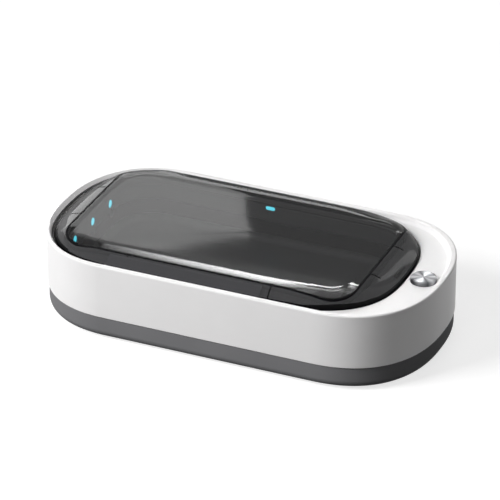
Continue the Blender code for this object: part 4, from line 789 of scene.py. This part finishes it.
# %% Seat for the mat and windows for the lamps
LED_Z = 35.5 * MM
LED_RADIUS = 2.25 * MM
LED_PITCH = 22.2 * MM
LED_WINDOW = 2.6 * MM
LAMP_DEPTH = 2.2 * MM
LAMP_SETBACK = 0.4 * MM
END_WALL = MOUTH_HALF_LENGTH - LAMP_SETBACK
SIDE_WALL = MOUTH_HALF_WIDTH - LAMP_SETBACK
BAR_Z = 38.2 * MM
BAR_LENGTH = 5.4 * MM
BAR_HEIGHT = 2.1 * MM
BAR_GAP = 0.25 * MM
BAR_ROUND_SHARE = 0.48
THROUGH = 3.0 * MM
MAT_LENGTH = 120.0 * MM
MAT_WIDTH = 64.0 * MM
MAT_CORNER = 12.0 * MM
MAT_BOTTOM = 18.7 * MM
MAT_TOP = 20.0 * MM
MAT_ROUND = 0.4 * MM
MAT_GAP = 0.3 * MM
SEAT_DEPTH = 0.6 * MM
GRIP_REACH = 48.0 * MM
GRIP_WIDTH = 1.6 * MM
GRIP_DEPTH = 0.5 * MM
GRIP_PITCH = 12.0 * MM
LAMPS = {}
for side, end in (("left", -1), ("right", 1)):
    for label, step in (("front", -1), ("middle", 0), ("back", 1)):
        LAMPS[f"{side}_{label}"] = ((LID_CENTRE + end * END_WALL, step * LED_PITCH),
                                    (-end, 0, 0))


def lamp_bar(side, spare, back, front):
    """A lying bar with round ends in the rear (1) or front (-1) wall of the chamber."""
    low = (LID_CENTRE - BAR_LENGTH / 2 - spare, BAR_Z - BAR_HEIGHT / 2 - spare)
    high = (LID_CENTRE + BAR_LENGTH / 2 + spare, BAR_Z + BAR_HEIGHT / 2 + spare)
    ends = sorted((side * (SIDE_WALL + back), side * (SIDE_WALL - front)))
    shape = boxed_shape((low[0], ends[0], low[1]), (high[0], ends[1], high[1]))
    round_edges(shape, edges_along(shape, 1), BAR_HEIGHT * BAR_ROUND_SHARE, 6)
    return shape


def rounded_block(length, width, corner, low, high):
    """A flat block with round corners, laid on the lid's middle."""
    shape = boxed_shape((LID_CENTRE - length / 2, -width / 2, low),
                        (LID_CENTRE + length / 2, width / 2, high))
    round_edges(shape, edges_along(shape, 2), corner, 8)
    return shape


seat = rounded_block(MAT_LENGTH + 2 * MAT_GAP, MAT_WIDTH + 2 * MAT_GAP, MAT_CORNER + MAT_GAP,
                     FLOOR_Z - SEAT_DEPTH, FLOOR_Z + 2 * MM)
holes = [("DIFFERENCE", seat)]
for (x, y), heading in LAMPS.values():
    holes.append(("DIFFERENCE", rod(LED_WINDOW, THROUGH, (x, y, LED_Z), heading=heading)))
for side in (-1, 1):
    holes.append(("DIFFERENCE", lamp_bar(side, BAR_GAP, THROUGH, THROUGH)))
# The collar's faces above the lip take the black paint: painted shade in the gap round the lid.
chamber.data.materials.append(black_shade_paint)
for face in chamber.data.polygons:
    face.material_index = 1 if face.center.z > LIP_TOP + 0.02 * MM else 0
shape_with(chamber, holes)
settle_shading(chamber)

mat = rounded_block(MAT_LENGTH, MAT_WIDTH, MAT_CORNER, MAT_BOTTOM, MAT_TOP)
round_edges(mat, edges_level(mat, 2, MAT_TOP), MAT_ROUND, 3)
mat = finish_mesh(mat, "charging_mat", silicone, "case", ["charging_pad"])
grips = [("DIFFERENCE", boxed_shape(
    (LID_CENTRE - GRIP_REACH, y - GRIP_WIDTH / 2, MAT_TOP - GRIP_DEPTH),
    (LID_CENTRE + GRIP_REACH, y + GRIP_WIDTH / 2, MAT_TOP + MM)))
         for y in (-GRIP_PITCH, 0, GRIP_PITCH)]
shape_with(mat, grips)
settle_shading(mat)
print("chamber faces", len(chamber.data.polygons), "mat faces", len(mat.data.polygons))

# %% [markdown]
# Each end lamp is a short barrel with a domed front, turned from one profile. The two side
# lamps are flat bars with a rounded face. Only the front faces take the glowing lens.

# %% Lamps
DOME_DEPTH = 0.6 * MM
dome = [(LED_RADIUS * c, DOME_DEPTH * (s - 1)) for s, c in arc(6)]


def dress_lamp(shape, name, front, heading):
    """The lens glows on its front faces, and the barrel behind them is black."""
    lamp = finish_mesh(shape, f"lamp_{name}", lamp_glow, "case", [f"uv_led_{name}"])
    lamp.data.materials.append(black_nylon)
    for face in lamp.data.polygons:
        depth = (face.center - Vector(front)).dot(Vector(heading))
        face.material_index = 1 if depth < -DOME_DEPTH * 1.01 else 0


for name, ((x, y), heading) in LAMPS.items():
    profile = [(0, -LAMP_DEPTH), (LED_RADIUS, -LAMP_DEPTH)] + dome[:-1] + [(0, 0)]
    lamp = turned_shape(profile, (x, y, LED_Z), 32, heading)
    dress_lamp(lamp, name, (x, y, LED_Z), heading)
for name, side in (("rear", 1), ("front", -1)):
    bar = lamp_bar(side, 0.0, LAMP_DEPTH, 0.0)
    round_edges(bar, edges_level(bar, 1, side * SIDE_WALL), DOME_DEPTH, 3)
    dress_lamp(bar, name, (LID_CENTRE, side * SIDE_WALL, BAR_Z), (0, -side, 0))
print(len(LAMPS) + 2, "lamps")

# %% [markdown]
# ## The lid
# The lid has two mouldings in the same smoked plastic. The ring carries the hinges and slopes
# up to a crease. The window fills the crease and crowns slightly. A dark seal closes the gap
# between them and shows as the thin line round the window. The crease dips where the slope is
# narrow and rises a little at the ends. The joint inside it widens towards the rear.

# %% Levels of the lid
LID_EDGE_Z = 43.5 * MM
LID_TOP = 49.4 * MM
SKIRT_Z = 41.4 * MM
LEG_Z = 40.9 * MM
LEG_WALL = 1.2 * MM
CREASE_HALF_LENGTH = 84.0 * MM
CREASE_HALF_WIDTH = 47.8 * MM
CREASE_CORNER = np.where(cosines > 0, 16.0, 18.0) * MM
CREASE_MARGIN = 6.4 * MM
CREST_RISE = 5.1 * MM
END_RISE = 0.5 * MM
NARROW_FALL = 3.5 * MM
CROWN_WIDTH = 9.6 * MM
WINDOW_WALL = 1.8 * MM
SLOPE_BULGE = 1.6
JOINT_WIDTH = 1.6 * MM
REAR_JOINT = 4.0 * MM
REAR_START = 0.3
rearness = np.clip(2 * (rays[:, 1] - REAR_START), 0, 1)
joint = JOINT_WIDTH + (REAR_JOINT - JOINT_WIDTH) * rearness


def crease(inward=0.0):
    """The crease of the lid, or a loop that lies a distance inside it."""
    return rectangle(CREASE_HALF_LENGTH - inward, CREASE_HALF_WIDTH - inward,
                     CREASE_CORNER - inward)


def from_edge(loop):
    """How far a loop lies from the lid's edge along each ray."""
    return np.linalg.norm(lid_edge - loop, axis=1)


crease_line = crease()
slope_width = from_edge(crease_line)
nearness = np.maximum(1 - slope_width / CREASE_MARGIN, 0)
crest = LID_EDGE_Z + CREST_RISE + END_RISE * rays[:, 0] ** 2 - NARROW_FALL * nearness


def on_slope(distance, drop=0.0):
    """A loop on the bulged slope, at a distance inward from the lid's edge."""
    share = np.clip(distance / slope_width, 0, 1)
    height = LID_EDGE_Z + (crest - LID_EDGE_Z) * (1 - (1 - share) ** SLOPE_BULGE)
    return at(pull_in(lid_edge, distance), height - drop)


def on_crown(inward, drop=0.0):
    """A loop on the window, which climbs from the crease to its flat top."""
    fall = (1 - np.minimum(inward / CROWN_WIDTH, 1)) ** 2
    return at(crease(inward), LID_TOP - (LID_TOP - crest) * fall - drop)


print("slope from", (slope_width.min() / MM).round(1), "to", (slope_width.max() / MM).round(1))

# %% Lid ring
LID_SHARP_ANGLE = 50.0
RING_EDGE = 0.5 * MM
RING_WALL = 2.0 * MM
SEAL_ROOM = 1.1 * MM
LIP_WALL = 1.0 * MM
LIP_REACH = 0.7 * MM
LIP_DROP = WINDOW_WALL + SEAL_ROOM
LIP_UNDER = LIP_DROP + LIP_WALL
CREASE_STEP = 0.2 * MM
CREASE_EASE = 0.25 * MM
KNEE_TO_CREASE = 1.2 * MM
KNEE_TO_LEG = 0.5 * MM
SKIRT_WALL = 1.6 * MM
SHOULDER = 0.15 * MM
LEFT_SHOULDER = 1.1 * MM
SHOULDER_SHARE = 0.12
SHADE_PAINT_MARGIN = 0.6 * MM
PRINT_DEPTH = 0.5 * MM


def ring_rings():
    """The ring's section: over the slope to the crease, round the leg and back."""
    leg_inner = mouth()
    leg_outer = mouth(LEG_WALL)
    ledge = crease(joint + LIP_REACH)
    knee = np.minimum(slope_width - KNEE_TO_CREASE, from_edge(leg_outer) - KNEE_TO_LEG)
    skirt = np.minimum(SKIRT_WALL, knee - GAP)
    span = slope_width - CREASE_EASE - RING_EDGE
    shoulder = np.minimum(SHOULDER + LEFT_SHOULDER * leftness, span * SHOULDER_SHARE)
    rings = [at(lid_edge, SKIRT_Z)]
    rings += [on_slope(RING_EDGE * (1 - c), RING_EDGE * (1 - s)) for s, c in arc(4)]
    rings += [on_slope(RING_EDGE + shoulder)]
    rings += [on_slope(RING_EDGE + span * share) for share in (0.2, 0.35, 0.5, 0.65, 0.8, 1.0)]
    rings += [at(crease_line, crest - CREASE_STEP), at(crease_line, crest - LIP_DROP),
              at(ledge, crest - LIP_DROP), at(ledge, crest - LIP_UNDER),
              at(leg_inner, crest - LIP_UNDER), at(leg_inner, LEG_Z), at(leg_outer, LEG_Z),
              at(leg_outer, crest - LIP_UNDER), at(pull_in(lid_edge, knee), crest - LIP_UNDER),
              on_slope(knee, RING_WALL)]
    rings += [on_slope(knee + (skirt - knee) * share, RING_WALL) for share in (0.33, 0.66, 1.0)]
    rings += [at(pull_in(lid_edge, skirt), SKIRT_Z)]
    return rings


def slope_reading(x, y):
    """A point's distance inside the lid's edge, the slope's height there, and its leftness."""
    offset = np.array((x, y)) - ray_start
    along = (offset * rays).sum(1)
    aside = np.linalg.norm(offset - along[:, None] * rays, axis=1)
    nearest = np.where(along > 0, aside, np.inf).argmin()
    inside = np.linalg.norm(lid_edge[nearest] - ray_start[nearest]) - along[nearest]
    share = np.clip(inside / slope_width[nearest], 0, 1)
    rise = (crest[nearest] - LID_EDGE_Z) * (1 - (1 - share) ** SLOPE_BULGE)
    return inside, LID_EDGE_Z + rise, leftness[nearest]


ring = finish_mesh(grow(ring_rings()), "lid_ring", smoked_frame, "lid", ["lid_frame"],
                   LID_SHARP_ANGLE)
# Faces close to the ring's edge take the black paint, as painted shade of the gap and the grazing
# edge. Faces of the underside take the grey print.
ring.data.materials.append(black_shade_paint)
ring.data.materials.append(grey_print)
for face in ring.data.polygons:
    inside, surface, left = slope_reading(face.center.x, face.center.y)
    if inside < SHADE_PAINT_MARGIN * (1 + left):
        face.material_index = 1
    elif surface - face.center.z > PRINT_DEPTH:
        face.material_index = 2
print("lid ring faces", len(ring.data.polygons))

# %% [markdown]
# Six fine dark lines cross the slope: one in each half of the near side, and two at each end.
# Each is cut by a thin tool that follows the slope, and the cut's faces take the black paint:
# painted shade that draws the groove as a dark line.

# %% Fine grooves on the slope
GROOVE_WIDTH = 0.7 * MM
GROOVE_DEPTH = 0.5 * MM
GROOVE_STEPS = 10


def groove(start, end):
    """A thin cutter that follows the slope between two points."""
    start = np.array(start)
    end = np.array(end)
    side = (end - start) / np.linalg.norm(end - start)
    side = np.array((-side[1], side[0])) * GROOVE_WIDTH / 2
    shape = bmesh.new()
    previous = None
    for step in range(GROOVE_STEPS + 1):
        x, y = start + (end - start) * step / GROOVE_STEPS
        height = slope_reading(x, y)[1]
        row = [shape.verts.new((x + way * side[0], y + way * side[1], height + rise))
               for way, rise in ((-1, MM), (1, MM), (1, -GROOVE_DEPTH), (-1, -GROOVE_DEPTH))]
        if previous is None:
            shape.faces.new(row)
        else:
            for corner in range(4):
                shape.faces.new((previous[corner], previous[corner - 1], row[corner - 1],
                                 row[corner]))
        previous = row
    shape.faces.new(previous)
    bmesh.ops.recalc_face_normals(shape, faces=shape.faces)
    return shape


# %% [markdown]
# Under the ring's rear edge are two pairs of lugs, bored for the hinge pins. Pockets at its
# two ends hold the magnets. A slot lets each hinge blade through the skirt.

# %% Lugs, pockets and slots of the lid ring
HINGES = {"left": -49.5 * MM, "right": 32.5 * MM}
HINGE_Y = 50.8 * MM
HINGE_Z = 43.6 * MM
LUG_SPREAD = 2.7 * MM
LUG_REACH = 1.2 * MM
LUG_RADIUS = 1.7 * MM
PIN_REACH = 5.4 * MM
PIN_RADIUS = 1.0 * MM
BLADE_SIDE = 1.5 * MM
BLADE_FRONT = 2.0 * MM
BLADE_RISE = 2.1 * MM
MAGNET_REACH = 90.85 * MM
MAGNET_Z = 40.0 * MM
POCKET_LENGTH = 5.6 * MM
POCKET_WIDTH = 10.6 * MM
POCKET_SIDE = 1.1 * MM
POCKET_RISE = 1.4 * MM
GROOVE_X = 41.0 * MM
GROOVE_Y = 16.5 * MM
GROOVE_REACH = 5.5 * MM


def pocket_box(x, side, low, high):
    """A box round a magnet, as much wider on every side as asked."""
    half_length = POCKET_LENGTH / 2 + side
    half_width = POCKET_WIDTH / 2 + side
    return boxed_shape((x - half_length, -half_width, low), (x + half_length, half_width, high))


tools = []
for x in HINGES.values():
    for end in (-1, 1):
        middle = x + end * LUG_SPREAD
        lug = rod(LUG_RADIUS, LUG_REACH, (middle, HINGE_Y, HINGE_Z), heading=(1, 0, 0))
        web = boxed_shape((middle - LUG_REACH, HINGE_Y - LUG_RADIUS, HINGE_Z),
                          (middle + LUG_REACH, HINGE_Y + LUG_RADIUS, HINGE_Z + LUG_RADIUS))
        tools += [("UNION", lug), ("UNION", web)]
for end in (-1, 1):
    x = LID_CENTRE + end * MAGNET_REACH
    block = pocket_box(x, POCKET_SIDE, MAGNET_Z - POCKET_RISE, LID_EDGE_Z + MM)
    hollow = pocket_box(x, 0.0, MAGNET_Z - POCKET_RISE - MM, MAGNET_Z + POCKET_RISE)
    tools += [("UNION", block), ("DIFFERENCE", hollow)]
# The grooves' faces take the black paint, as painted shade.
for x in (LID_CENTRE - GROOVE_X, LID_CENTRE + GROOVE_X):
    tools.append(("DIFFERENCE", groove((x, -LID_HALF_WIDTH), (x, -CREASE_HALF_WIDTH)),
                  black_shade_paint))
for end in (-1, 1):
    for y in (-GROOVE_Y, GROOVE_Y):
        start = LID_CENTRE + end * CREASE_HALF_LENGTH
        tools.append(("DIFFERENCE", groove((start + end * GROOVE_REACH, y), (start, y)),
                      black_shade_paint))
for x in HINGES.values():
    pin_bore = rod(PIN_RADIUS, PIN_REACH, (x, HINGE_Y, HINGE_Z), 24, (1, 0, 0))
    blade_slot = boxed_shape((x - BLADE_SIDE, HINGE_Y - BLADE_FRONT, SKIRT_Z - MM),
                             (x + BLADE_SIDE, LID_HALF_WIDTH + MM, HINGE_Z + BLADE_RISE))
    tools += [("DIFFERENCE", pin_bore), ("DIFFERENCE", blade_slot)]
shape_with(ring, tools)
print("lid ring faces with lugs", len(ring.data.polygons))

# %% [markdown]
# The window stops a little short of the ring, and leaves a wider joint at the rear. The seal
# lies on the ring's ledge under the window, and a rib of it stands up in that joint. The rib
# is the dark line that runs round the window.

# %% Window, seal and gasket
GASKET_Z = 39.9 * MM
GASKET_GAP = 0.3 * MM
CROWN_STEPS = 8
PANE_EASE = 0.2 * MM
SEAL_DROP = 0.3 * MM
SEAL_THICKNESS = 0.5 * MM
SEAL_REACH = 0.5 * MM
RIB_PLAY = 0.1 * MM
RIB_FALL = 0.04 * MM


def window_rings():
    """The window's section: its underside from the middle out, its edge and its top."""
    flats = [CROWN_WIDTH * step / CROWN_STEPS for step in range(1, CROWN_STEPS + 1)]
    edge = crease(joint)
    rings = [on_crown(flat, WINDOW_WALL) for flat in reversed(flats)]
    rings += [at(edge, crest - WINDOW_WALL), at(edge, crest - PANE_EASE),
              on_crown(joint + PANE_EASE, PANE_EASE / 10)]
    rings += [on_crown(flat) for flat in flats]
    return rings


def seal_rings():
    """The seal's section: a flat strip under the window's edge, and its rib in the joint."""
    rib_foot = crest - WINDOW_WALL - SEAL_DROP
    underside = rib_foot - SEAL_THICKNESS
    inner = crease(joint + SEAL_REACH)
    return [on_crown(RIB_PLAY, 2 * RIB_FALL), at(crease(RIB_PLAY), underside),
            at(inner, underside), at(inner, rib_foot), at(crease(joint - RIB_PLAY), rib_foot),
            on_crown(joint - RIB_PLAY, RIB_FALL), on_crown(joint / 2, RIB_FALL)]


window = finish_mesh(grow(window_rings(), closed=False), "lid_window_pane", smoked_window,
                     "lid", ["lid_window"], LID_SHARP_ANGLE)
finish_mesh(grow(seal_rings()), "pane_seal", black_seal, "lid", ["window_seal"])
gasket_top = LEG_Z - GASKET_GAP
gasket = grow([at(mouth(LEG_WALL), gasket_top), at(mouth(LEG_WALL), GASKET_Z),
               at(mouth(), GASKET_Z), at(mouth(), gasket_top)])
finish_mesh(gasket, "leg_gasket", black_seal, "lid", ["lid_gasket"])
print("window faces", len(window.data.polygons))

# %% [markdown]
# ## The button
# The cap is turned from aluminium: a flat face inside a fine groove, a narrow chamfer and a
# straight side. CAP_EDGE gives the groove and the chamfer, in millimetres in from the side and
# down from the face. The stem under the cap is acetal, and a small coil spring lifts it. The
# spring ends low enough to leave room for the stem's stroke.

# %% Button cap
CAP_SHARP_ANGLE = 25.0
CAP_FACE = -0.3 * MM
CAP_UNDER = -1.2 * MM
CAP_FOOT = -3.6 * MM
CAP_WALL = 1.5 * MM
CAP_EDGE = ((0.8, 0.0), (0.72, 0.2), (0.52, 0.2), (0.44, 0.04), (0.12, 0.22), (0.0, 0.45))
hollow = BUTTON_RADIUS - CAP_WALL
profile = [(0, CAP_FACE)]
profile += [(BUTTON_RADIUS - inward * MM, CAP_FACE - drop * MM) for inward, drop in CAP_EDGE]
profile += [(BUTTON_RADIUS, CAP_FOOT), (hollow, CAP_FOOT), (hollow, CAP_UNDER), (0, CAP_UNDER)]
cap = turned_shape(profile, (BUTTON_X, 0, BUTTON_Z), 96)
cap = finish_mesh(cap, "spun_button", spun_metal_painted_highlight, "button", ["button_cap"],
                  CAP_SHARP_ANGLE)
print("cap faces", len(cap.data.polygons))

# %% Return spring
SPRING_TURNS = 5
SPRING_LOW = 33.95 * MM
SPRING_HIGH = 39.7 * MM
SPRING_RADIUS = 3.7 * MM
WIRE_RADIUS = 0.35 * MM
STEPS_PER_TURN = 32
curve = bpy.data.curves.new("return_spring", "CURVE")
curve.dimensions = "3D"
curve.bevel_depth = WIRE_RADIUS
curve.bevel_resolution = 3
curve.use_fill_caps = True
wire = curve.splines.new("POLY")
count = SPRING_TURNS * STEPS_PER_TURN
wire.points.add(count)
for step, point in enumerate(wire.points):
    angle = math.tau * step / STEPS_PER_TURN
    height = SPRING_LOW + (SPRING_HIGH - SPRING_LOW) * step / count
    point.co = (BUTTON_X + SPRING_RADIUS * math.cos(angle), SPRING_RADIUS * math.sin(angle),
                height, 1)
coil = bpy.data.objects.new("return_spring", curve)
bpy.context.scene.collection.objects.link(coil)
view = bpy.context.evaluated_depsgraph_get()
coil_mesh = bpy.data.meshes.new_from_object(coil.evaluated_get(view))
bpy.data.objects.remove(coil)
spring_shape = bmesh.new()
spring_shape.from_mesh(coil_mesh)
finish_mesh(spring_shape, "return_spring", spring_steel, "case", ["button_spring"])
print("spring turns", SPRING_TURNS)

# %% [markdown]
# ## Feet
# Four soft discs, sunk in the base and standing 1 mm proud of it. FOOT_EDGE gives the round
# lower edge and the flat rim inside it, in millimetres in from the side and up from the table.

# %% Feet
FOOT_RADIUS = 6.0 * MM
FOOT_HEIGHT = 1.7 * MM
FOOT_HOLLOW = 0.15 * MM
FOOT_RIM = 1.7 * MM
FOOT_EDGE = ((0.0, 0.35), (0.1, 0.1), (0.35, 0.0), (1.4, 0.0))
profile = [(0, FOOT_HEIGHT), (FOOT_RADIUS, FOOT_HEIGHT)]
profile += [(FOOT_RADIUS - inward * MM, rise * MM) for inward, rise in FOOT_EDGE]
profile += [(FOOT_RADIUS - FOOT_RIM, FOOT_HOLLOW), (0, FOOT_HOLLOW)]
for name, (x, y) in FEET.items():
    foot = turned_shape(profile, (x, y, 0))
    finish_mesh(foot, f"rubber_{name}", silicone, "case", [f"foot_{name}"])
print(len(FEET), "feet")

# %% [markdown]
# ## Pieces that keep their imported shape
# The small stamped and moulded parts are right as they are. Each one only gets its finish.

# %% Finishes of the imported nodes
FINISHES = {
    zinc_plate: ("hinge_bracket_left", "hinge_bracket_right", "catch_plate_left",
                 "catch_plate_right"),
    nickel_plate: ("hinge_pin_left", "hinge_pin_right", "lid_magnet_left",
                   "lid_magnet_right", "usb_socket"),
    black_nylon: ("lid_sensor", "tact_switch", "switch_plunger", "usb_tongue"),
    board_mask: ("led_board_left", "led_board_right", "led_board_rear", "led_board_front",
                 "button_board", "main_board"),
    white_pom: ("button_stem",),
    copper_wire: ("charging_coil",),
    ferrite: ("ferrite_plate",),
}
screws = [name for name in nodes if "screw" in name]
for material, names in list(FINISHES.items()) + [(zinc_plate, screws)]:
    for name in names:
        nodes[name].data.materials.clear()
        nodes[name].data.materials.append(material)
print(len(screws), "screws")

# %% [markdown]
# ## Studio
# The box stands on a pale floor under soft light. The main light comes from the front left
# and above. A weaker one stands above the back, and a faint one skims the button end, which
# is left in shade. A low fill keeps the rear wall white. The floor and the room show pure
# white to the camera, and to whatever mirrors them, but they hardly light the box. The floor
# still catches the box's shadow.

# %% Floor and room
def white_to_the_eye(tree):
    """1 for camera, glossy and transmission rays, 0 for the rays that light things."""
    path = add_node(tree, "ShaderNodeLightPath", {})
    seen = add_node(tree, "ShaderNodeMath", {"operation": "MAXIMUM"},
                    {0: path.outputs["Is Camera Ray"], 1: path.outputs["Is Glossy Ray"]})
    seen = add_node(tree, "ShaderNodeMath", {"operation": "MAXIMUM"},
                    {0: seen.outputs["Value"], 1: path.outputs["Is Transmission Ray"]})
    return seen.outputs["Value"]


floor_material, tree, shader, place = new_material("pale studio floor")
tree.nodes.remove(shader)
output = tree.nodes["Material Output"]
lit = add_node(tree, "ShaderNodeBsdfDiffuse", {"Color": (0.5, 0.5, 0.5, 1.0)})
glow = add_node(tree, "ShaderNodeEmission", {"Color": (1.0, 1.0, 1.0, 1.0), "Strength": 0.72})
shown = add_node(tree, "ShaderNodeAddShader", {},
                 {0: lit.outputs["BSDF"], 1: glow.outputs["Emission"]})
plain = add_node(tree, "ShaderNodeBsdfDiffuse", {"Color": (0.07, 0.07, 0.07, 1.0)})
chosen = add_node(tree, "ShaderNodeMixShader", {}, {0: white_to_the_eye(tree),
                                                    1: plain.outputs["BSDF"],
                                                    2: shown.outputs["Shader"]})
tree.links.new(chosen.outputs["Shader"], output.inputs["Surface"])

floor_shape = bmesh.new()
bmesh.ops.create_grid(floor_shape, x_segments=1, y_segments=1, size=6.0)
object_from(floor_shape, "studio_floor", floor_material)

world = bpy.data.worlds.new("studio")
bpy.context.scene.world = world
world.use_nodes = True
tree = world.node_tree
background = tree.nodes["Background"]
strength = add_node(tree, "ShaderNodeMapRange", {"To Min": 0.03, "To Max": 1.0},
                    {"Value": white_to_the_eye(tree)})
background.inputs["Color"].default_value = (1.0, 1.0, 1.0, 1.0)
tree.links.new(strength.outputs["Result"], background.inputs["Strength"])

# %% Lamps of the studio
def face_box(thing, azimuth, elevation, distance):
    """Stands a light or a card at a distance, turned to the box."""
    away = heading_from(azimuth, elevation)
    thing.location = Vector((0, 0, 25 * MM)) + away * distance
    thing.rotation_mode = "QUATERNION"
    thing.rotation_quaternion = away.to_track_quat("Z", "Y")
    thing.visible_camera = False


def soft_light(name, azimuth, elevation, distance, size, power, mirrored=True):
    """A square or oblong lamp, which mirrors may show or not."""
    data = bpy.data.lights.new(name, "AREA")
    data.shape = "RECTANGLE"
    data.size, data.size_y = size
    data.energy = power
    light = bpy.data.objects.new(name, data)
    bpy.context.scene.collection.objects.link(light)
    face_box(light, azimuth, elevation, distance)
    light.visible_glossy = mirrored


soft_light("main light", -44, 38, 1.2, (0.5, 0.5), 14.6, mirrored=False)
soft_light("front light", 2, 25, 1.2, (0.5, 0.5), 1.9, mirrored=False)
soft_light("back light", -172, 58, 1.2, (0.4, 0.4), 1.0)
soft_light("edge light", 126, 13, 1.2, (0.5, 0.5), 1.6)
soft_light("rear fill", -178, 6, 1.2, (0.5, 0.2), 4.0, mirrored=False)

# %% [markdown]
# The lid is a dark mirror, so what stands behind the box shapes its look. A grey screen calms
# it, and a pale card lays a soft sheen on its left half. A bright strip that fades to the left
# draws the line along the window's near shoulder. Two weaker bands show along its far edge
# and on the slope by the button. The cards are seen only in reflections.

# %% Cards that the lid mirrors
def card(name, azimuth, elevation, distance, size, strength, roll=0.0):
    """A glowing card. Gives back its material's tree, its glow and its coordinates."""
    material, tree, shader, place = new_material(name)
    tree.nodes.remove(shader)
    glow = add_node(tree, "ShaderNodeEmission", {"Strength": strength})
    tree.links.new(glow.outputs["Emission"], tree.nodes["Material Output"].inputs["Surface"])
    shape = bmesh.new()
    bmesh.ops.create_grid(shape, x_segments=1, y_segments=1, size=0.5)
    bmesh.ops.scale(shape, vec=(*size, 1.0), verts=shape.verts)
    panel = object_from(shape, name, material)
    face_box(panel, azimuth, elevation, distance)
    panel.rotation_quaternion @= Quaternion((0, 0, 1), math.radians(roll))
    panel.visible_diffuse = False
    panel.visible_shadow = False
    return tree, glow, place


STRIP_GLOW = 32.0
card("grey screen", -157, 34.5, 1.5, (2.4, 1.3), 0.66)
card("pale card", -134.5, 19.5, 0.86, (0.62, 0.4), 3.2)
tree, glow, place = card("bright strip", -153.8, 43.0, 0.9, (0.31, 0.17), STRIP_GLOW, -9.0)
card("far band", -160, 20.2, 0.8, (0.32, 0.07), 5.0)
card("side band", 161, 29, 1.0, (0.1, 0.4), 1.8)

across = add_node(tree, "ShaderNodeSeparateXYZ", {}, {"Vector": place})
fade_left = add_node(tree, "ShaderNodeMapRange",
                     {"From Min": 0.155, "From Max": -0.03, "To Max": STRIP_GLOW,
                      "interpolation_type": "SMOOTHSTEP"}, {"Value": across.outputs["X"]})
fade_low = add_node(tree, "ShaderNodeMapRange",
                    {"From Min": 0.07, "From Max": -0.045,
                     "interpolation_type": "SMOOTHSTEP"}, {"Value": across.outputs["Y"]})
level = add_node(tree, "ShaderNodeMath", {"operation": "MULTIPLY"},
                 {0: fade_left.outputs["Result"], 1: fade_low.outputs["Result"]})
tree.links.new(level.outputs["Value"], glow.inputs["Strength"])

bpy.context.scene.view_settings.view_transform = "Standard"
